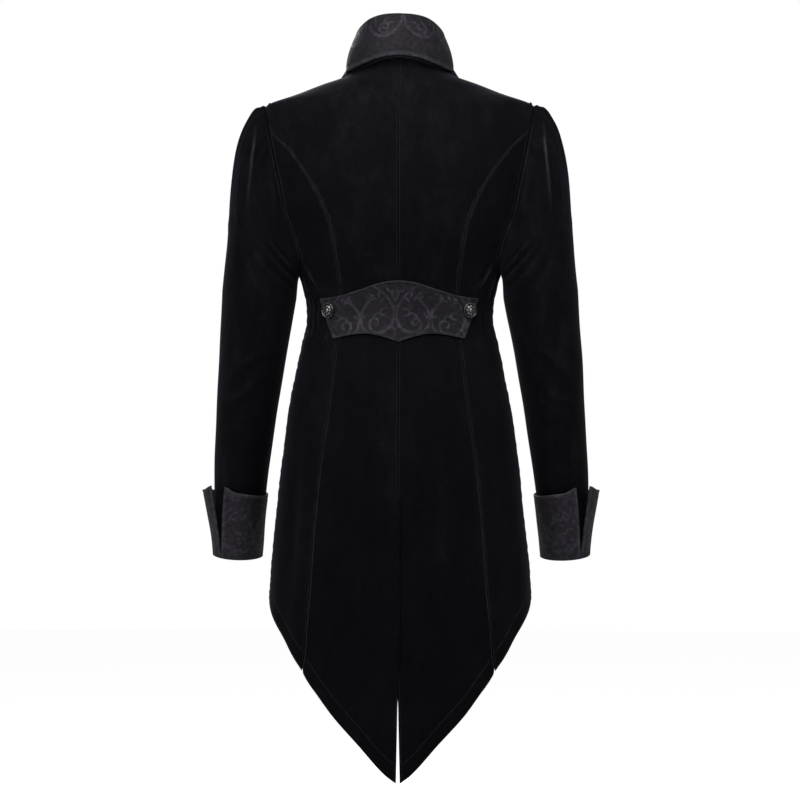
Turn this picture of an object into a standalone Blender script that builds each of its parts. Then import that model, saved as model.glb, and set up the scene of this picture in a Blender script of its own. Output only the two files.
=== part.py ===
"""A women's velvet tailcoat, worn and hollow: panels, gathered sleeves, turned-back cuffs, rolled collar, half belt.

Metres, +Z up. The origin lies between the shoulders at the neck. The coat's front faces -Y, and +X is the
wearer's left. A place on the body is an angle round it, 0 at the centre back and 180 at the centre front, and a
height. Each cloth piece is a wall from one panel edge to the next, with a narrow gap at the seams.
"""

import math

import bmesh
import bpy
import numpy as np

# Cloth and seams
VELVET = 0.0020
BROCADE = 0.0025
COLLAR_SEAT = 0.0006   # the collar's middle line starts this far above the neck seam
SEAM_GAP = 0.0003
LIFT = 0.0009          # what lies on a panel stands off it by this much

# Heights of the main landmarks
SHOULDER_TIP = -0.037
UNDERARM = -0.272
VENT_TOP = -0.560
TAIL_TIP = -0.972
VENT_OPENING = 0.0062  # width of the vent at the tail tips
FRONT_LAP = 0.018      # each front passes the centre by this much
FRONT_ROW_DROP = 0.11  # how much lower the rows meet the closing edge, so that none cross at the armhole
LAP_RISE = 0.0052      # the right front lies over the left one

# Sleeve and cuff
SLEEVE_TUBE_TOP = -0.302
GATHER_DEPTH = 0.0028
GATHER_LENGTH = 0.085
CUFF_HEIGHT = 0.092
CUFF_EASE = 0.0008     # room between the sleeve and the cuff's fold
CUFF_FLARE_OUT = 0.0135  # how far the free edge stands off on the outer side of the arm
CUFF_FLARE_IN = 0.0004   # and on the inner side
CUFF_PEAK = 0.0050     # the free edge rises beside the slit
CUFF_DIP = 0.0040      # and sags between there and the inner side
LEVEL_FOOT = 0.3       # share of the arm's lean that is taken out of the wrist's section
LEVEL_TOP = 0.9        # and out of the cuff's free edge
LEVEL_FROM = -0.500
SLIT_ANGLE = 37.0      # degrees from the back of the cuff towards its outer side
SLIT_TOP = 27.0        # width of the open V at its top, degrees
SLIT_FOOT = 1.2

# Buttons
BUTTON_RADIUS = 0.0103
BUTTON_HEIGHT = 0.0062
BUTTON_SEAT = 0.0006   # a flat button foot stands this far off the curved cloth
BELT_BUTTON = (0.0945, -0.3255)
FRONT_BUTTON_TOP = -0.098
FRONT_BUTTON_STEP = -0.070
FRONT_BUTTONS = 5


class Table:
    """Rows of sizes under named columns, read along a smooth curve through the rows."""

    def __init__(self, names, rows):
        self.names = names.split()
        self.rows = np.array(rows, dtype=float)
        if self.rows[0, 0] > self.rows[-1, 0]:
            self.rows = self.rows[::-1]

    def at(self, name, key):
        keys = self.rows[:, 0]
        values = self.rows[:, self.names.index(name)]
        steps = np.diff(values) / np.diff(keys)
        slopes = np.empty(len(keys))
        slopes[0], slopes[-1] = steps[0], steps[-1]
        slopes[1:-1] = (steps[:-1] + steps[1:]) / 2
        turning = steps[:-1] * steps[1:] <= 0
        slopes[1:-1][turning] = 0
        key = min(max(key, keys[0]), keys[-1])
        i = min(int(np.searchsorted(keys, key, side="right")) - 1, len(keys) - 2)
        width = keys[i + 1] - keys[i]
        t = (key - keys[i]) / width
        return ((2 * t**3 - 3 * t**2 + 1) * values[i] + (t**3 - 2 * t**2 + t) * width * slopes[i]
                + (3 * t**2 - 2 * t**3) * values[i + 1] + (t**3 - t**2) * width * slopes[i + 1])


# Level sections of the worn coat body
BODY = Table("z half_width back front", [
    (0.016, 0.062, 0.062, 0.050),
    (0.008, 0.069, 0.065, 0.053),
    (0.000, 0.083, 0.069, 0.056),
    (-0.008, 0.107, 0.073, 0.059),
    (-0.022, 0.145, 0.078, 0.063),
    (-0.037, 0.191, 0.083, 0.067),
    (-0.070, 0.191, 0.093, 0.080),
    (-0.110, 0.185, 0.100, 0.096),
    (-0.150, 0.177, 0.103, 0.110),
    (-0.190, 0.169, 0.101, 0.120),
    (-0.230, 0.157, 0.095, 0.118),
    (-0.272, 0.142, 0.087, 0.107),
    (-0.302, 0.1340, 0.082, 0.099),
    (-0.333, 0.1305, 0.079, 0.095),
    (-0.365, 0.1357, 0.082, 0.097),
    (-0.407, 0.1445, 0.093, 0.102),
    (-0.449, 0.1532, 0.103, 0.107),
    (-0.533, 0.1652, 0.114, 0.113),
    (-0.617, 0.1740, 0.118, 0.116),
    (-0.701, 0.1822, 0.119, 0.117),
    (-0.760, 0.1848, 0.119, 0.117),
    (-0.972, 0.1855, 0.117, 0.117),
])

# Neck seam, and the roll line and free edge of the collar that stands on it
COLLAR = Table("angle neck_z roll_z roll_x roll_y edge_z edge_x edge_y", [
    (0, 0.0150, 0.0835, 0.058, 0.058, 0.0250, 0.0745, 0.0775),
    (20, 0.0145, 0.0825, 0.058, 0.058, 0.0220, 0.0745, 0.0775),
    (40, 0.0125, 0.0788, 0.058, 0.058, 0.0155, 0.0745, 0.0775),
    (62, 0.0075, 0.0702, 0.058, 0.057, 0.0095, 0.0745, 0.0770),
    (90, 0.0000, 0.0580, 0.058, 0.056, 0.0070, 0.0745, 0.0760),
    (110, -0.0085, 0.0430, 0.058, 0.056, -0.0010, 0.0755, 0.0770),
    (130, -0.0230, 0.0250, 0.059, 0.058, -0.0150, 0.0765, 0.0790),
    (150, -0.0420, 0.0070, 0.060, 0.061, -0.0330, 0.0780, 0.0820),
    (172, -0.0600, -0.0080, 0.060, 0.065, -0.0500, 0.0780, 0.0870),
    (180, -0.0630, -0.0100, 0.060, 0.066, -0.0530, 0.0780, 0.0880),
])

# Where the neck seam's points lie, on the back and on the front
NECK_BACK = (18, 36, 54, 72)
NECK_FRONT = (110, 130, 150, 172)

# Hem, from the tail tip round to the front edge
HEM = Table("angle z", [
    (0, -0.9725), (5.4, -0.960), (17.2, -0.919), (29.3, -0.880), (36.6, -0.8533), (42.5, -0.8335),
    (45.8, -0.8205), (50.4, -0.8072), (54.9, -0.7941), (59.4, -0.7810), (64.5, -0.7680), (70.2, -0.7550),
    (77.1, -0.7421), (84, -0.7300), (90, -0.7190), (105, -0.678), (120, -0.627),
    (135, -0.570), (150, -0.513), (165, -0.466), (180, -0.440),
])
PRINCESS_FOOT = -0.8135
NOTCH_DEPTH = 0.003    # the back panel's corner hangs below the side back's at the hem

# Seams that run down the body, as distances from the centre line or as angles
PRINCESS = Table("z x", [
    (-0.075, 0.1800), (-0.085, 0.1705), (-0.101, 0.154), (-0.118, 0.141), (-0.134, 0.130), (-0.158, 0.1145),
    (-0.182, 0.103), (-0.199, 0.0965), (-0.228, 0.0900), (-0.250, 0.0865), (-0.285, 0.0815),
    (-0.330, 0.0810), (-0.376, 0.0860), (-0.468, 0.0965), (-0.535, 0.1065), (-0.625, 0.1155),
    (-0.705, 0.1210), (-0.760, 0.1262), (-0.797, 0.1290), (-0.830, 0.1345),
])
SIDE_SEAM = Table("z angle", [
    (-0.272, 90), (-0.290, 89.5), (-0.333, 89), (-0.400, 88.5), (-0.482, 88), (-0.760, 88),
])
ARMHOLE = Table("z back front", [
    (-0.037, 90, 90), (-0.048, 80, 100), (-0.060, 75.5, 105), (-0.075, 72, 108.5), (-0.110, 70.5, 113),
    (-0.150, 69.5, 116), (-0.190, 68.5, 117.5), (-0.215, 66, 117), (-0.240, 65.5, 115), (-0.256, 68, 110),
    (-0.266, 75, 102), (-0.272, 90, 90),
])
ABOVE_PRINCESS = (-0.037, -0.048, -0.060)
BELOW_PRINCESS = (-0.075, -0.092, -0.113, -0.137, -0.162, -0.188, -0.212, -0.234, -0.252, -0.265, -0.272)
# Shares of the way from the underarm to the hem, closer at the waist
BELOW_UNDERARM = (0.04, 0.08, 0.12, 0.16, 0.20, 0.26, 0.34, 0.43, 0.53, 0.64, 0.76, 0.88, 1)
EDGE_REACH = 0.3       # share of a panel's height over which its rows take the shape of its top or hem

# Sleeve tube: centre and half sizes of its sections down the arm
SLEEVE = Table("z x y half_x half_y", [
    (-0.302, 0.1967, 0.004, 0.0522, 0.058),
    (-0.365, 0.2045, -0.003, 0.0483, 0.054),
    (-0.407, 0.2100, -0.010, 0.0457, 0.051),
    (-0.449, 0.2149, -0.019, 0.0434, 0.049),
    (-0.533, 0.2238, -0.037, 0.0395, 0.044),
    (-0.600, 0.2295, -0.052, 0.0358, 0.041),
    (-0.668, 0.2330, -0.067, 0.0325, 0.038),
])
HEAD_SHARES = (0, 0.05, 0.12, 0.22, 0.36, 0.54, 0.77)   # rows of the sleeve head, from armhole to tube
SLEEVE_LEVELS = (-0.302, -0.326, -0.351, -0.378, -0.407, -0.440, -0.475, -0.515, -0.556, -0.596, -0.632, -0.668)
GATHERS = (-58, -38, -20, 0, 20, 38, 58)   # degrees round the sleeve head

# Belt: its upper and lower edges, by the distance from the centre back
BELT = Table("x top foot", [
    (0, -0.2855, -0.3702), (0.0096, -0.2860, -0.3672), (0.0192, -0.2874, -0.3645), (0.0294, -0.2897, -0.3621),
    (0.0396, -0.2929, -0.3601), (0.0492, -0.2964, -0.3588), (0.0588, -0.2992, -0.3585), (0.0684, -0.3022, -0.3590),
    (0.0786, -0.3050, -0.3601), (0.0888, -0.3068, -0.3617), (0.0984, -0.3081, -0.3635), (0.108, -0.3088, -0.3650),
])
BELT_TIP = 0.018       # the belt's pointed ends pass its lower corners by this much

# Folds pressed into the body by wear: place, reach and depth of each soft trough
FOLDS = Table("z angle reach_z reach_angle depth", [
    (-0.318, 66, 0.012, 16, 0.0024),
    (-0.350, 74, 0.013, 14, 0.0020),
    (-0.470, 34, 0.130, 6, 0.0026),
    (-0.640, 22, 0.180, 6, 0.0034),
    (-0.660, 60, 0.150, 7, 0.0036),
])
BUST = {"angle": 142.0, "z": -0.196, "spread_angle": 19.0, "spread_z": 0.052, "height": 0.013}


def unit(vector):
    return vector / np.linalg.norm(vector)


def body_point(angle, z):
    """The outside of the coat body. A negative angle is on the wearer's right."""
    turn = math.radians(angle)
    depth = BODY.at("back" if math.cos(turn) >= 0 else "front", z)
    width = BODY.at("half_width", z)
    swell = 0.0
    for row in FOLDS.rows:
        away = ((z - row[0]) / row[2]) ** 2 + ((abs(angle) - row[1]) / row[3]) ** 2
        swell -= row[4] * math.exp(-away)
    away = ((z - BUST["z"]) / BUST["spread_z"]) ** 2 + ((abs(angle) - BUST["angle"]) / BUST["spread_angle"]) ** 2
    swell += BUST["height"] * math.exp(-away)
    return np.array([(width + swell) * math.sin(turn), (depth + swell) * math.cos(turn), z])


def body_normal(angle, z):
    across = body_point(angle + 1.5, z) - body_point(angle - 1.5, z)
    along = body_point(angle, z + 0.004) - body_point(angle, z - 0.004)
    return unit(np.cross(along, across))


def angle_at(x, z):
    """Angle of the back point that lies x from the centre line."""
    low, high = 0.0, 90.0
    for _ in range(40):
        middle = (low + high) / 2
        if body_point(middle, z)[0] < x:
            low = middle
        else:
            high = middle
    return low


def turn_for(angle, z, distance):
    """Degrees that move a point of the body by a distance along its level section."""
    step = np.linalg.norm(body_point(angle + 0.5, z) - body_point(angle - 0.5, z))
    return distance / step


def princess(z):
    return angle_at(PRINCESS.at("x", z), z)


def spread(first, last, count):
    return [first + (last - first) * i / (count - 1) for i in range(count)]


def lengths(points):
    """Share of the way along a list of points, from 0 to 1."""
    steps = [0.0] + [float(np.linalg.norm(np.subtract(b, a))) for a, b in zip(points, points[1:])]
    total = np.cumsum(steps)
    return total / total[-1]


def on_body(places):
    return [body_point(angle, z) for angle, z in places]


def ruled(first, last, share):
    """A place between two edges of a panel. Its row leaves both edges level."""
    ease = share * share * (3 - 2 * share)
    return np.array([first[0] + (last[0] - first[0]) * share, first[1] + (last[1] - first[1]) * ease])


def patch(left, right, top, foot):
    """Fills the four edges of a panel, each a list of (angle, z), with rows and columns of places."""
    down = (lengths(on_body(left)) + lengths(on_body(right))) / 2
    over = (lengths(on_body(top)) + lengths(on_body(foot))) / 2
    rows = []
    for j, t in enumerate(down):
        near_top = max(0.0, 1 - t / EDGE_REACH) ** 2
        near_foot = max(0.0, 1 - (1 - t) / EDGE_REACH) ** 2
        rows.append([ruled(left[j], right[j], u)
                     + near_top * (np.array(top[i]) - ruled(left[0], right[0], u))
                     + near_foot * (np.array(foot[i]) - ruled(left[-1], right[-1], u))
                     for i, u in enumerate(over)])
    return rows


def material(name, colour, roughness, metallic=0.0, sheen=0.0):
    made = bpy.data.materials.new(name)
    made.use_nodes = True
    shader = made.node_tree.nodes["Principled BSDF"]
    shader.inputs["Base Color"].default_value = (*colour, 1)
    shader.inputs["Roughness"].default_value = roughness
    shader.inputs["Metallic"].default_value = metallic
    shader.inputs["Sheen Weight"].default_value = sheen
    made.diffuse_color = (*colour, 1)
    return made


def add_object(name, mesh_builder, finish, smooth_angle=50):
    mesh = bpy.data.meshes.new(name)
    bmesh.ops.recalc_face_normals(mesh_builder, faces=mesh_builder.faces[:])
    mesh_builder.to_mesh(mesh)
    mesh_builder.free()
    mesh.materials.append(finish)
    mesh.shade_smooth()
    mesh.set_sharp_from_angle(angle=math.radians(smooth_angle))
    made = bpy.data.objects.new(name, mesh)
    bpy.context.scene.collection.objects.link(made)
    return made


def add_wall(name, outer, inner, finish, tube=False):
    """A closed wall between two grids of points. A tube's last column meets its first."""
    builder = bmesh.new()
    skins = [[[builder.verts.new(point) for point in row] for row in grid] for grid in (outer, inner)]
    rows, columns = len(outer), len(outer[0])
    pairs = [(i, (i + 1) % columns) for i in range(columns if tube else columns - 1)]
    for skin in skins:
        for upper, lower in zip(skin, skin[1:]):
            for a, b in pairs:
                builder.faces.new((upper[a], upper[b], lower[b], lower[a]))
    for j in (0, rows - 1):
        for a, b in pairs:
            builder.faces.new((skins[0][j][a], skins[0][j][b], skins[1][j][b], skins[1][j][a]))
    if not tube:
        for i in (0, columns - 1):
            for j in range(rows - 1):
                builder.faces.new((skins[0][j][i], skins[0][j + 1][i], skins[1][j + 1][i], skins[1][j][i]))
    return add_object(name, builder, finish)


def mirrored(grid, side):
    return [[point * np.array([side, 1, 1]) for point in row] for row in grid]


def add_panel(name, places, side, finish, rise=None):
    """A velvet panel on the body. rise gives how far a place stands off the body."""
    outer, inner = [], []
    for row in places:
        normals = [body_normal(angle, z) for angle, z in row]
        lifts = [rise(angle, z) if rise else 0.0 for angle, z in row]
        skin = [body_point(angle, z) + normal * lift for (angle, z), normal, lift in zip(row, normals, lifts)]
        outer.append(skin)
        inner.append([point - normal * VELVET for point, normal in zip(skin, normals)])
    return add_wall(name, mirrored(outer, side), mirrored(inner, side), finish)


def neck_place(angle):
    """The neck seam's point in a level direction from the neck's middle. On the front it runs above the shoulders."""
    z = COLLAR.at("neck_z", angle)
    if angle <= 90:
        return (angle, z)
    across = BODY.at("half_width", 0.0) * math.sin(math.radians(angle))
    return (180 - math.degrees(math.asin(across / BODY.at("half_width", z))), z)


def seam_side(places, way):
    """Moves an edge half the seam gap round the body, forward or backward."""
    return [(angle + way * turn_for(angle, z, SEAM_GAP / 2), z) for angle, z in places]


def body_levels(foot):
    return [UNDERARM + (foot - UNDERARM) * share for share in BELOW_UNDERARM]


def armhole_edge(column, levels):
    return [(ARMHOLE.at(column, z), z) for z in levels]


def shoulder_edge(way):
    """From the neck point to the shoulder tip."""
    return seam_side([(90.0, z) for z in spread(0.0, SHOULDER_TIP, 4)], way)


def vent_gap(z):
    """Half the opening at the centre back, the plain seam above the vent and a widening slit below it."""
    down = max(0.0, (VENT_TOP - z) / (VENT_TOP - TAIL_TIP))
    return SEAM_GAP / 2 + (VENT_OPENING / 2 - SEAM_GAP / 2) * down**1.6


def back_places():
    right = armhole_edge("back", ABOVE_PRINCESS)
    right[:1] = seam_side(right[:1], -1)
    levels = (*BELOW_PRINCESS, *body_levels(PRINCESS_FOOT), PRINCESS_FOOT - NOTCH_DEPTH)
    right += seam_side([(princess(z), z) for z in levels], -1)
    share = lengths(on_body(right))
    neck = COLLAR.at("neck_z", 0)
    left = []
    for t in share:
        z = neck + (TAIL_TIP - neck) * t
        left.append((turn_for(0, z, vent_gap(z)), z))
    top = [neck_place(angle) for angle in (left[0][0], *NECK_BACK)] + shoulder_edge(-1)
    foot = [(angle, HEM.at("z", angle)) for angle in spread(left[-1][0], right[-1][0], len(top))]
    foot[-1] = right[-1]
    left[-1] = foot[0]
    return patch(left, right, top, foot)


def side_edge(way):
    """The side seam below the underarm, with the underarm point itself."""
    foot = HEM.at("z", SIDE_SEAM.at("angle", -0.750))
    return seam_side([(SIDE_SEAM.at("angle", z), z) for z in (UNDERARM, *body_levels(foot))], way)


def side_back_places():
    left = seam_side([(princess(z), z) for z in (*BELOW_PRINCESS, *body_levels(PRINCESS_FOOT))], 1)
    right = armhole_edge("back", BELOW_PRINCESS[:-1]) + side_edge(-1)
    columns = 5
    top = [tuple(np.array(left[0]) * (1 - u) + np.array(right[0]) * u) for u in spread(0, 1, columns)]
    foot = [(angle, HEM.at("z", angle)) for angle in spread(left[-1][0], right[-1][0], columns)]
    foot[0], foot[-1] = left[-1], right[-1]
    return patch(left, right, top, foot)


def front_places():
    left = armhole_edge("front", ABOVE_PRINCESS + BELOW_PRINCESS[:-1]) + side_edge(1)
    left[:1] = seam_side(left[:1], 1)
    share = lengths(on_body(left))
    neck, foot_z = COLLAR.at("neck_z", 180), HEM.at("z", 180)
    lower = [t + FRONT_ROW_DROP * math.sin(math.pi * t) for t in share]
    right = [(180.0, neck + (foot_z - neck) * t) for t in lower]
    right = [(angle + turn_for(angle, z, FRONT_LAP), z) for angle, z in right]
    top = shoulder_edge(1)[::-1] + [neck_place(angle) for angle in NECK_FRONT] + [right[0]]
    angles = spread(left[-1][0], right[-1][0], len(top))
    foot = [(angle, HEM.at("z", min(angle, 180.0))) for angle in angles]
    foot[0], foot[-1] = left[-1], right[-1]
    return patch(left, right, top, foot)


def add_body(finish):
    back, side_back, front = back_places(), side_back_places(), front_places()
    for side, word in ((1, "left"), (-1, "right")):
        add_panel(f"back_{word}", back, side, finish)
        add_panel(f"side_back_{word}", side_back, side, finish)

        def lap_rise(angle, z, side=side):
            reach = (angle - 148) / 20
            return LAP_RISE * max(0.0, min(1.0, reach)) if side < 0 else 0.0

        add_panel(f"front_{word}", front, side, finish, lap_rise)


def armhole_loop():
    """Outer points and body normals round the armhole: tip, down the back, underarm, up the front."""
    levels = ABOVE_PRINCESS + BELOW_PRINCESS
    places = armhole_edge("back", levels) + armhole_edge("front", levels[:-1])[::-1][:-1]
    points = [body_point(angle, z) for angle, z in places]
    normals = [body_normal(angle, z) for angle, z in places]
    fine_points, fine_normals = [], []
    count = len(points)
    near_tip = (0, 1, 2, count - 3, count - 2, count - 1)
    for i in range(count):
        follows = (i + 1) % count
        cuts = 2 if i in near_tip else 1
        for cut in range(cuts):
            t = cut / cuts
            fine_points.append(points[i] * (1 - t) + points[follows] * t)
            fine_normals.append(unit(normals[i] * (1 - t) + normals[follows] * t))
    return fine_points, fine_normals


def sleeve_centre(z):
    return np.array([SLEEVE.at("x", z), SLEEVE.at("y", z), z])


def sleeve_frame(z):
    """The directions along the arm, out from the body and to the back, at a height of the sleeve."""
    along = unit(sleeve_centre(max(z - 0.02, -0.668)) - sleeve_centre(min(z + 0.02, -0.302)))
    out = unit(np.array([1.0, 0, 0]) - along * along[0])
    return along, out, np.cross(out, along)


def tube_point(z, turn, extra=0.0):
    """A point round the sleeve. Turn 0 is the outer side and 90 the back."""
    _, out, back = sleeve_frame(z)
    angle = math.radians(turn)
    return (sleeve_centre(z) + out * (SLEEVE.at("half_x", z) + extra) * math.cos(angle)
            + back * (SLEEVE.at("half_y", z) + extra) * math.sin(angle))


def levelled(point, z, amount):
    """Slides a point of a section along the arm, which takes a share of the arm's lean out of the section."""
    along, _, back = sleeve_frame(z)
    rise = -amount * back[2] / back[1] * (point[1] - SLEEVE.at("y", z))
    return point + along * (rise / along[2])


def head_path(start, turn, share):
    """From the armhole over the sleeve head to the top of the arm's tube."""
    top = (1 + math.cos(math.radians(turn))) / 2
    swing = math.sin(math.radians(turn))
    away = unit(np.array([0.22 + 0.75 * top, 0.38 * swing, -0.95 + 0.72 * top]))
    end = tube_point(SLEEVE_TUBE_TOP, turn)
    along, _, _ = sleeve_frame(SLEEVE_TUBE_TOP)
    first = start + away * (0.010 + 0.040 * top)
    second = end - along * (0.012 + 0.150 * top + 0.030 * abs(swing))
    t = share
    return (1 - t)**3 * start + 3 * (1 - t)**2 * t * first + 3 * (1 - t) * t**2 * second + t**3 * end


def grid_normals(grid, tube):
    """Outward normals of a grid of points, from the points beside each one."""
    points = np.array(grid)
    if tube:
        over = np.roll(points, -1, axis=1) - np.roll(points, 1, axis=1)
    else:
        over = np.gradient(points, axis=1)
    down = np.gradient(points, axis=0)
    normals = np.cross(over, down)
    return normals / np.linalg.norm(normals, axis=2, keepdims=True)


def sleeve_grid():
    starts, body_normals = armhole_loop()
    middle = np.mean(starts, axis=0)
    count = len(starts)
    share = np.append(lengths(starts + starts[:1])[:-1], 1.0)
    under = int(np.argmin([point[2] for point in starts]))
    turns = [180 * share[i] / share[under] if i <= under
             else 180 + 180 * (share[i] - share[under]) / (1 - share[under]) for i in range(count)]
    edges = []
    for i, point in enumerate(starts):
        along = unit(starts[(i + 1) % count] - starts[i - 1])
        edge = unit(np.cross(along, body_normals[i]))
        edges.append(edge if np.dot(edge, middle - point) > 0 else -edge)
    first = [point + edge * SEAM_GAP for point, edge in zip(starts, edges)]
    rows = [[head_path(point, turn, share_down) for point, turn in zip(first, turns)]
            for share_down in HEAD_SHARES]
    for z in SLEEVE_LEVELS:
        amount = LEVEL_FOOT * min(1.0, max(0.0, (LEVEL_FROM - z) / (LEVEL_FROM - SLEEVE_LEVELS[-1])))
        rows.append([levelled(tube_point(z, turn), z, amount) for turn in turns])
    normals = grid_normals(rows, tube=True)
    centre = np.mean(rows[-1], axis=0)
    if np.dot(normals[-1][0], rows[-1][0] - centre) < 0:
        normals = -normals
    outer = [list(row) for row in rows]
    for j, row in enumerate(rows[1:len(HEAD_SHARES)], start=1):
        for i, point in enumerate(row):
            turn = (turns[i] + 180) % 360 - 180
            reach = float(np.linalg.norm(point - first[i]))
            wave = sum(math.exp(-((turn - place) / 6.5) ** 2) for place in GATHERS) - 0.45
            fade = math.exp(-(reach / GATHER_LENGTH) ** 2) * min(1.0, reach / 0.012)
            near = 1.0 if abs(turn) < 75 else 0.0
            outer[j][i] = point + normals[j][i] * GATHER_DEPTH * wave * fade * near
    inner = [[point - normal * VELVET for point, normal in zip(row, line)] for row, line in zip(outer, normals)]
    for i, edge in enumerate(edges):
        inward = -normals[0][i]
        away = float(np.dot(inward, edge))
        if away < 0:
            inward = unit(inward - edge * away)
        inner[0][i] = outer[0][i] + inward * VELVET
    return outer, inner


def cuff_grid():
    """The turned-back cuff, from its fold at the wrist to its free edge, open at the V slit."""
    foot = SLEEVE_LEVELS[-1]
    columns = 23
    outer, inner = [], []
    for share in (0, 0.3, 0.6, 0.82, 1.0):
        z = foot - 0.0015 + CUFF_HEIGHT * share
        amount = LEVEL_FOOT + (LEVEL_TOP - LEVEL_FOOT) * share
        opening = SLIT_FOOT + (SLIT_TOP - SLIT_FOOT) * share
        slit = 90 - SLIT_ANGLE
        row_out, row_in = [], []
        for i in range(columns):
            turn = slit + opening / 2 + (360 - opening) * i / (columns - 1)
            from_slit = min(i, columns - 1 - i) / (columns - 1)
            outer_side = (1 + math.cos(math.radians(turn))) / 2
            flare = CUFF_FLARE_OUT * outer_side + CUFF_FLARE_IN * (1 - outer_side)
            rise = share**3 * (CUFF_PEAK * math.exp(-(from_slit / 0.035) ** 2)
                               - CUFF_DIP * math.sin(math.pi * min(1.0, from_slit * 2.2)))
            level = z + rise
            gap = CUFF_EASE + flare * share**1.5
            row_in.append(levelled(tube_point(level, turn, gap), level, amount))
            row_out.append(levelled(tube_point(level, turn, gap + BROCADE), level, amount))
        outer.append(row_out)
        inner.append(row_in)
    return outer, inner


def add_sleeves(velvet, brocade):
    sleeve_outer, sleeve_inner = sleeve_grid()
    cuff_outer, cuff_inner = cuff_grid()
    for side, word in ((1, "left"), (-1, "right")):
        add_wall(f"sleeve_{word}", mirrored(sleeve_outer, side), mirrored(sleeve_inner, side), velvet, tube=True)
        add_wall(f"cuff_{word}", mirrored(cuff_outer, side), mirrored(cuff_inner, side), brocade)


def collar_section(angle):
    """Middle of the collar's cloth: up from the neck seam, over the roll, down to the free edge."""
    size = {name: COLLAR.at(name, abs(angle)) for name in COLLAR.names}
    turn = math.radians(angle)
    out = np.array([math.sin(turn), math.cos(turn), 0])
    round_to = np.array([math.sin(turn), math.cos(turn), 1])
    up = np.array([0, 0, 1.0])
    seam = body_point(*neck_place(abs(angle))) * np.array([math.copysign(1, angle), 1, 1])
    base = seam - out * BROCADE * 0.5 + up * COLLAR_SEAT
    roll = round_to * np.array([size["roll_x"], size["roll_y"], size["roll_z"]])
    edge = round_to * np.array([size["edge_x"], size["edge_y"], size["edge_z"]])
    radius = 0.0042
    centre = roll - up * radius
    turn_in = centre - out * radius
    turn_out = centre + out * radius
    stand = [base * (1 - t) + turn_in * t - out * 0.0025 * math.sin(math.pi * t) for t in (0, 0.2, 0.45, 0.7)]
    arch = [centre + radius * (-out * math.cos(step) + up * math.sin(step))
            for step in (math.radians(a) for a in (0, 45, 90, 135, 180))]
    fall = [turn_out * (1 - t) + edge * t + out * 0.0035 * math.sin(math.pi * t) for t in (0.25, 0.5, 0.75, 1)]
    return stand + arch + fall


def add_collar(finish):
    """The collar runs round the neck from one front end to the other."""
    half = (*NECK_BACK, 90, *NECK_FRONT)
    angles = [-angle for angle in half[::-1]] + [0, *half]
    middle = [collar_section(angle) for angle in angles]
    normals = grid_normals(middle, tube=False)
    outer = [[p + n * BROCADE / 2 for p, n in zip(row, line)] for row, line in zip(middle, normals)]
    inner = [[p - n * BROCADE / 2 for p, n in zip(row, line)] for row, line in zip(middle, normals)]
    add_wall("collar", outer, inner, finish)


def back_point(x, z, lift):
    side = -1 if x < 0 else 1
    angle = angle_at(abs(x), z)
    point = body_point(angle, z) + body_normal(angle, z) * lift
    return point * np.array([side, 1, 1])


def add_belt(finish):
    half = BELT.rows[-1, 0]
    columns = 23
    outer, inner = [], []
    for share in (0, 0.25, 0.5, 0.75, 1):
        row_out, row_in = [], []
        for x in spread(-half, half, columns):
            z = BELT.at("top", abs(x)) * (1 - share) + BELT.at("foot", abs(x)) * share
            reach = x * (1 - BELT_TIP / half * share)
            row_in.append(back_point(reach, z, LIFT))
            row_out.append(back_point(reach, z, LIFT + BROCADE))
        outer.append(row_out)
        inner.append(row_in)
    add_wall("back_belt", outer, inner, finish)


def button_profile():
    """Radius and height of a domed button with a raised rim and a shank plate, from its foot to its crown."""
    r, h = BUTTON_RADIUS, BUTTON_HEIGHT
    return [(0.60 * r, 0), (0.62 * r, 0.25 * h), (r, 0.36 * h), (0.94 * r, 0.68 * h), (0.80 * r, 0.64 * h),
            (0.48 * r, 0.93 * h)]


def add_button(name, place, normal, finish):
    """A turned button whose axis stands on the cloth."""
    builder = bmesh.new()
    sides = 14
    out = unit(np.cross(normal, np.array([0, 0, 1.0])))
    up = np.cross(out, normal)
    rings = []
    for radius, height in button_profile():
        ring = []
        for i in range(sides):
            turn = 2 * math.pi * i / sides
            ring.append(builder.verts.new(
                place + normal * height + radius * (out * math.cos(turn) + up * math.sin(turn))))
        rings.append(ring)
    for lower, upper in zip(rings, rings[1:]):
        for i in range(sides):
            j = (i + 1) % sides
            builder.faces.new((lower[i], lower[j], upper[j], upper[i]))
    foot = builder.verts.new(place)
    crown = builder.verts.new(place + normal * BUTTON_HEIGHT)
    for i in range(sides):
        j = (i + 1) % sides
        builder.faces.new((foot, rings[0][j], rings[0][i]))
        builder.faces.new((crown, rings[-1][i], rings[-1][j]))
    add_object(name, builder, finish, smooth_angle=40)


def add_buttons(finish):
    x, z = BELT_BUTTON
    angle = angle_at(x, z)
    seat = body_point(angle, z) + body_normal(angle, z) * (LIFT + BROCADE + BUTTON_SEAT)
    for side, word in ((1, "left"), (-1, "right")):
        flip = np.array([side, 1, 1])
        add_button(f"belt_button_{word}", seat * flip, body_normal(angle, z) * flip, finish)
    for number in range(FRONT_BUTTONS):
        z = FRONT_BUTTON_TOP + FRONT_BUTTON_STEP * number
        normal = unit(body_normal(180, z) * np.array([0, 1, 1]))
        seat = body_point(180, z) * np.array([0, 1, 1]) + normal * (LAP_RISE + BUTTON_SEAT)
        add_button(f"front_button_{number + 1}", seat, normal, finish)


def main():
    for old in list(bpy.data.objects):
        bpy.data.objects.remove(old, do_unlink=True)
    velvet = material("black_velvet", (0.010, 0.010, 0.012), 0.85, sheen=0.6)
    brocade = material("black_brocade", (0.035, 0.034, 0.038), 0.55)
    metal = material("dark_silver", (0.30, 0.30, 0.31), 0.35, metallic=1.0)
    add_body(velvet)
    add_sleeves(velvet, brocade)
    add_collar(brocade)
    add_belt(brocade)
    add_buttons(metal)


main()
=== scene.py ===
import math

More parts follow.
